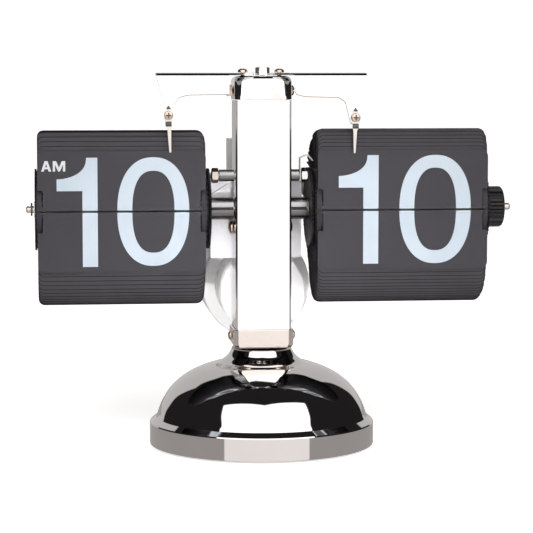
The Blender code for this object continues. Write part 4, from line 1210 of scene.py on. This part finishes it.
# the boss on the front of the case is flattened above and below
boss = common(
    lathe("Y", CASE_BOSS, BATTERY, 128),
    box((BATTERY_X - 30, BATTERY_X + 30), (10, 20), (BATTERY_Z - 12.7, BATTERY_Z + 12.7)),
)
case = join(lathe("Y", CASE_PROFILE, BATTERY, 128), boss)
piece("battery_case_shell", case, CASE, "battery_case", sharp=36)


def battery_coil(steps=110, turns=2.5):
    """A conical wire coil that narrows towards the back."""
    wire = bpy.data.curves.new("coil", "CURVE")
    wire.dimensions = "3D"
    wire.bevel_depth = 0.3
    wire.bevel_resolution = 3
    wire.use_fill_caps = True
    line = wire.splines.new("POLY")
    line.points.add(steps)
    for i in range(steps + 1):
        t = i / steps
        x, z = polar(6.5 - 2.5 * t, TURN * turns * t, BATTERY)
        line.points[i].co = (x, 19.3 + 2.4 * t, z, 1)
    return clean(baked(wire))


piece("battery_spring_fine", battery_coil(), TUBE, "battery_spring")

COVER_SKIN = [
    (0, 86.2), (17.5, 86.2), (18.0, 85.7), (19.2, 85.7), (19.7, 86.15), (22.0, 86.15),
    (23.6, 85.4), (24.5, 84.0), (24.55, 80.4), (24.55, 50.2), (24.8, 49.9), (24.8, 46.5),
    (24.5, 46.2), (0, 46.2),
]
COVER_HOLLOW = [(0, 84.6), (20.5, 84.6), (23.3, 82.6), (23.3, 40.0), (0, 40.0)]
COVER_RIBS = 80
RIB_STEPS = 6


def battery_cover():
    """A cap with fine grip ribs round it, and a step and a triangle sunk in its back."""
    ribs = []
    for i in range(COVER_RIBS):
        for k in range(RIB_STEPS):
            t = k / RIB_STEPS
            radius = 24.8 - (0.32 if 0.5 < t < 0.95 else 0.0)
            ribs.append(polar(radius, TURN * (i + t) / COVER_RIBS, BATTERY))
    cover = join(lathe("Y", COVER_SKIN, BATTERY, 144), plate("Y", [ribs], 50.5, 80.0))
    cover = cut(cover, lathe("Y", COVER_HOLLOW, BATTERY, 128))
    triangle = [
        (BATTERY_X - 3.2, BATTERY_Z - 3.0), (BATTERY_X + 3.2, BATTERY_Z - 3.0),
        (BATTERY_X, BATTERY_Z + 3.2),
    ]
    return cut(cover, plate("Y", [triangle], 85.7, 87.0))


piece("battery_cover_cap", battery_cover(), COVER, "battery_cover",
      body="battery_cover", sharp=30)

CONTACT = [(0, 83.6), (5.5, 83.6), (5.5, 84.2), (2.4, 84.2), (2.0, 83.95), (0, 83.95)]
piece("battery_contact_disc", lathe("Y", soft(CONTACT, 0.12, 3), BATTERY, 64), BRASS,
      "battery_contact", body="battery_cover")

CELL = [
    (0, 22.4), (15.6, 22.4), (16.9, 22.9), (17.1, 23.8), (17.1, 80.0), (16.9, 80.9),
    (15.9, 81.6), (14.6, 81.6), (14.2, 81.2), (5.6, 81.2), (4.9, 81.7), (4.8, 83.2), (0, 83.2),
]


def cell_slot(centre, normal):
    """Metal ends, a band at the back and the jacket between."""
    radius = math.hypot(centre.x - BATTERY_X, centre.z - BATTERY_Z)
    if radius < 15.8 or centre.y < 22.9:
        return 2
    return 1 if centre.y > 66 else 0


obj = piece("battery_cell_fine", lathe("Y", soft(CELL, 0.2, 3), BATTERY),
            [CELL_BODY, CELL_BAND, TUBE], "battery_cell", body="battery_cell")
paint(obj, cell_slot)

# =====================================================================
# CAD nodes that keep their own mesh
# =====================================================================
CAD_MATERIALS = {
    "minute_arbor": ACETAL, "layshaft": ACETAL, "hour_arbor": ACETAL, "minute_hub": ACETAL,
    "hour_hub": ACETAL, "motor_pinion": BRASS, "drive_motor": TUBE,
    "minute_gear_wheel": WHEEL, "hour_gear_wheel": WHEEL,
}
for name, material in CAD_MATERIALS.items():
    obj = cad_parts[name]
    obj.data.materials.clear()
    obj.data.materials.append(material)
    paint(obj, lambda centre, normal: 0)


# =====================================================================
# studio
# =====================================================================
def calc(tree, operation, a, b=None, clamp=False):
    inputs = {0: a} if b is None else {0: a, 1: b}
    return node(tree, "Math", inputs, operation=operation, use_clamp=clamp).outputs[0]


def step_up(tree, value, edge, width):
    """0 below the edge, 1 above it, over a soft width."""
    slope = calc(tree, "MULTIPLY", calc(tree, "SUBTRACT", value, edge), 1 / width)
    return calc(tree, "ADD", slope, 0.5, clamp=True)


def floor_material():
    """White to the camera; in reflections it glows brighter towards the front."""
    material = bpy.data.materials.new("floor_white")
    material.use_nodes = True
    tree = material.node_tree
    bsdf = tree.nodes["Principled BSDF"]
    bsdf.inputs["Base Color"].default_value = (0.80, 0.785, 0.77, 1)
    bsdf.inputs["Roughness"].default_value = 0.9
    surface = bsdf.outputs[0]
    emit = node(tree, "Emission", {"Color": (1, 1, 1, 1), "Strength": 0.62})
    path = node(tree, "LightPath")
    bright = node(tree, "AddShader", {0: surface, 1: emit.outputs[0]})
    incoming = node(tree, "NewGeometry").outputs["Incoming"]
    parts = node(tree, "SeparateXYZ", {0: incoming})
    # Incoming points back along the ray, so a ray that heads to the front has a positive Y
    ahead = calc(tree, "MULTIPLY", parts.outputs["Y"], 1.0)
    sideways = calc(tree, "ABSOLUTE", parts.outputs["X"], 0.0)
    lit_side = step_up(tree, calc(tree, "MULTIPLY", ahead, 0.96), sideways, width=0.025)
    lit_front = step_up(tree, ahead, edge=0.12, width=0.04)
    lit = calc(tree, "MULTIPLY", calc(tree, "MULTIPLY", lit_side, lit_front), 0.72)
    strength = calc(tree, "ADD", lit, 0.42)
    glow = node(tree, "Emission", {"Color": (1.0, 0.955, 0.93, 1), "Strength": strength})
    glossy = node(tree, "MixShader",
                  {0: path.outputs["Is Glossy Ray"], 1: surface, 2: glow.outputs[0]})
    seen = node(tree, "MixShader", {
        0: path.outputs["Is Camera Ray"], 1: glossy.outputs[0], 2: bright.outputs[0],
    })
    tree.links.new(seen.outputs[0], tree.nodes["Material Output"].inputs["Surface"])
    return material


bm = bmesh.new()
bmesh.ops.create_grid(bm, x_segments=2, y_segments=2, size=30.0)
floor = link(bpy.data.objects.new("floor", to_mesh(bm, "floor")))
floor.location = (0, 0, -0.0004)
floor.data.materials.append(floor_material())


def studio_world():
    """White to the camera; a softbox in front and a backdrop behind light the clock."""
    world = bpy.data.worlds.new("studio")
    scene.world = world
    world.use_nodes = True
    tree = world.node_tree
    tree.nodes.clear()

    def product(a, b):
        return calc(tree, "MULTIPLY", a, b)

    direction = node(tree, "TexCoord").outputs["Generated"]
    unit = node(tree, "VectorMath", {0: direction}, operation="NORMALIZE")
    dx, dy, dz = node(tree, "SeparateXYZ", {0: unit.outputs[0]}).outputs

    # the softbox: a wide white panel in front, from the floor up to overhead
    toward = calc(tree, "ADD", product(dy, -0.906), product(dz, 0.4226))
    side = calc(tree, "SUBTRACT", product(toward, 1.06), calc(tree, "ABSOLUTE", dx))
    panel = product(step_up(tree, side, 0.0, width=0.02),
                    step_up(tree, toward, 0.02, width=0.04))
    facing = calc(tree, "ADD", product(dy, -1.0), product(calc(tree, "ABSOLUTE", dx), 0.42))
    front = product(panel, step_up(tree, facing, 0.47, width=0.03))

    # the backdrop: a pale panel behind, lower than the softbox
    side = calc(tree, "SUBTRACT", product(dy, 0.80), calc(tree, "ABSOLUTE", dx))
    top = calc(tree, "SUBTRACT", product(dy, 1.02), dz)
    panel = product(step_up(tree, side, 0.0, width=0.03), step_up(tree, top, 0.0, width=0.03))
    behind = product(panel, step_up(tree, dy, 0.0, width=0.05))

    # softbox 1.95, backdrop 0.62 and a faint glow from everywhere
    level = calc(tree, "ADD", product(front, 1.95), product(behind, 0.62))
    level = calc(tree, "ADD", level, 0.018)
    panels = node(tree, "Background", {"Color": (1.0, 0.985, 0.97, 1), "Strength": level})
    white = node(tree, "Background", {"Color": (1, 1, 1, 1), "Strength": 1.0})
    camera_ray = node(tree, "LightPath").outputs["Is Camera Ray"]
    mix = node(tree, "MixShader", {0: camera_ray, 1: panels.outputs[0], 2: white.outputs[0]})
    node(tree, "OutputWorld", {"Surface": mix.outputs[0]})


studio_world()


def area_light(name, location, target, **settings):
    """An area light (metres, watts) that isn't seen itself or in reflections."""
    lamp = bpy.data.lights.new(name, "AREA")
    for key, value in settings.items():
        setattr(lamp, key, value)
    light = link(bpy.data.objects.new(name, lamp))
    light.location = location
    aim = Vector(target) - light.location
    light.rotation_euler = aim.to_track_quat("-Z", "Y").to_euler()
    light.visible_glossy = False
    light.visible_camera = False


area_light("fill", (0.1, -1.3, 0.75), (0, 0, 0.09),
           shape="RECTANGLE", size=1.4, size_y=1.1, energy=15.0)
# two low lamps that reach the battery case under the drums
for name, x in (("low_left", -0.16), ("low_right", 0.16)):
    area_light(name, (x, -0.55, 0.012), (0.002, 0.03, 0.062),
               shape="DISK", size=0.10, spread=math.radians(34), energy=0.10)

scene.view_settings.view_transform = "Standard"
scene.view_settings.look = "None"
scene.view_settings.exposure = 0.0
scene.view_settings.gamma = 1.0

# =====================================================================
# camera: in front, a little to the left, looking slightly down
# =====================================================================
YAW, PITCH = math.radians(6.0), math.radians(5.4)
DISTANCE = 880.0
CAMERA_Z = 161.0
AIM_X = 2.2  # where the line of sight crosses the plane y = 0
lens = bpy.data.cameras.new("camera")
lens.sensor_width = 36.0
lens.lens = 136.4
lens.clip_start = 0.05
lens.clip_end = 60
camera = link(bpy.data.objects.new("camera", lens))
camera.location = (
    (AIM_X - DISTANCE * math.sin(YAW)) * MM, -DISTANCE * math.cos(YAW) * MM, CAMERA_Z * MM,
)
sight = Vector((
    math.sin(YAW) * math.cos(PITCH), math.cos(YAW) * math.cos(PITCH), -math.sin(PITCH),
))
camera.rotation_mode = "QUATERNION"
camera.rotation_quaternion = sight.to_track_quat("-Z", "Y")
scene.camera = camera
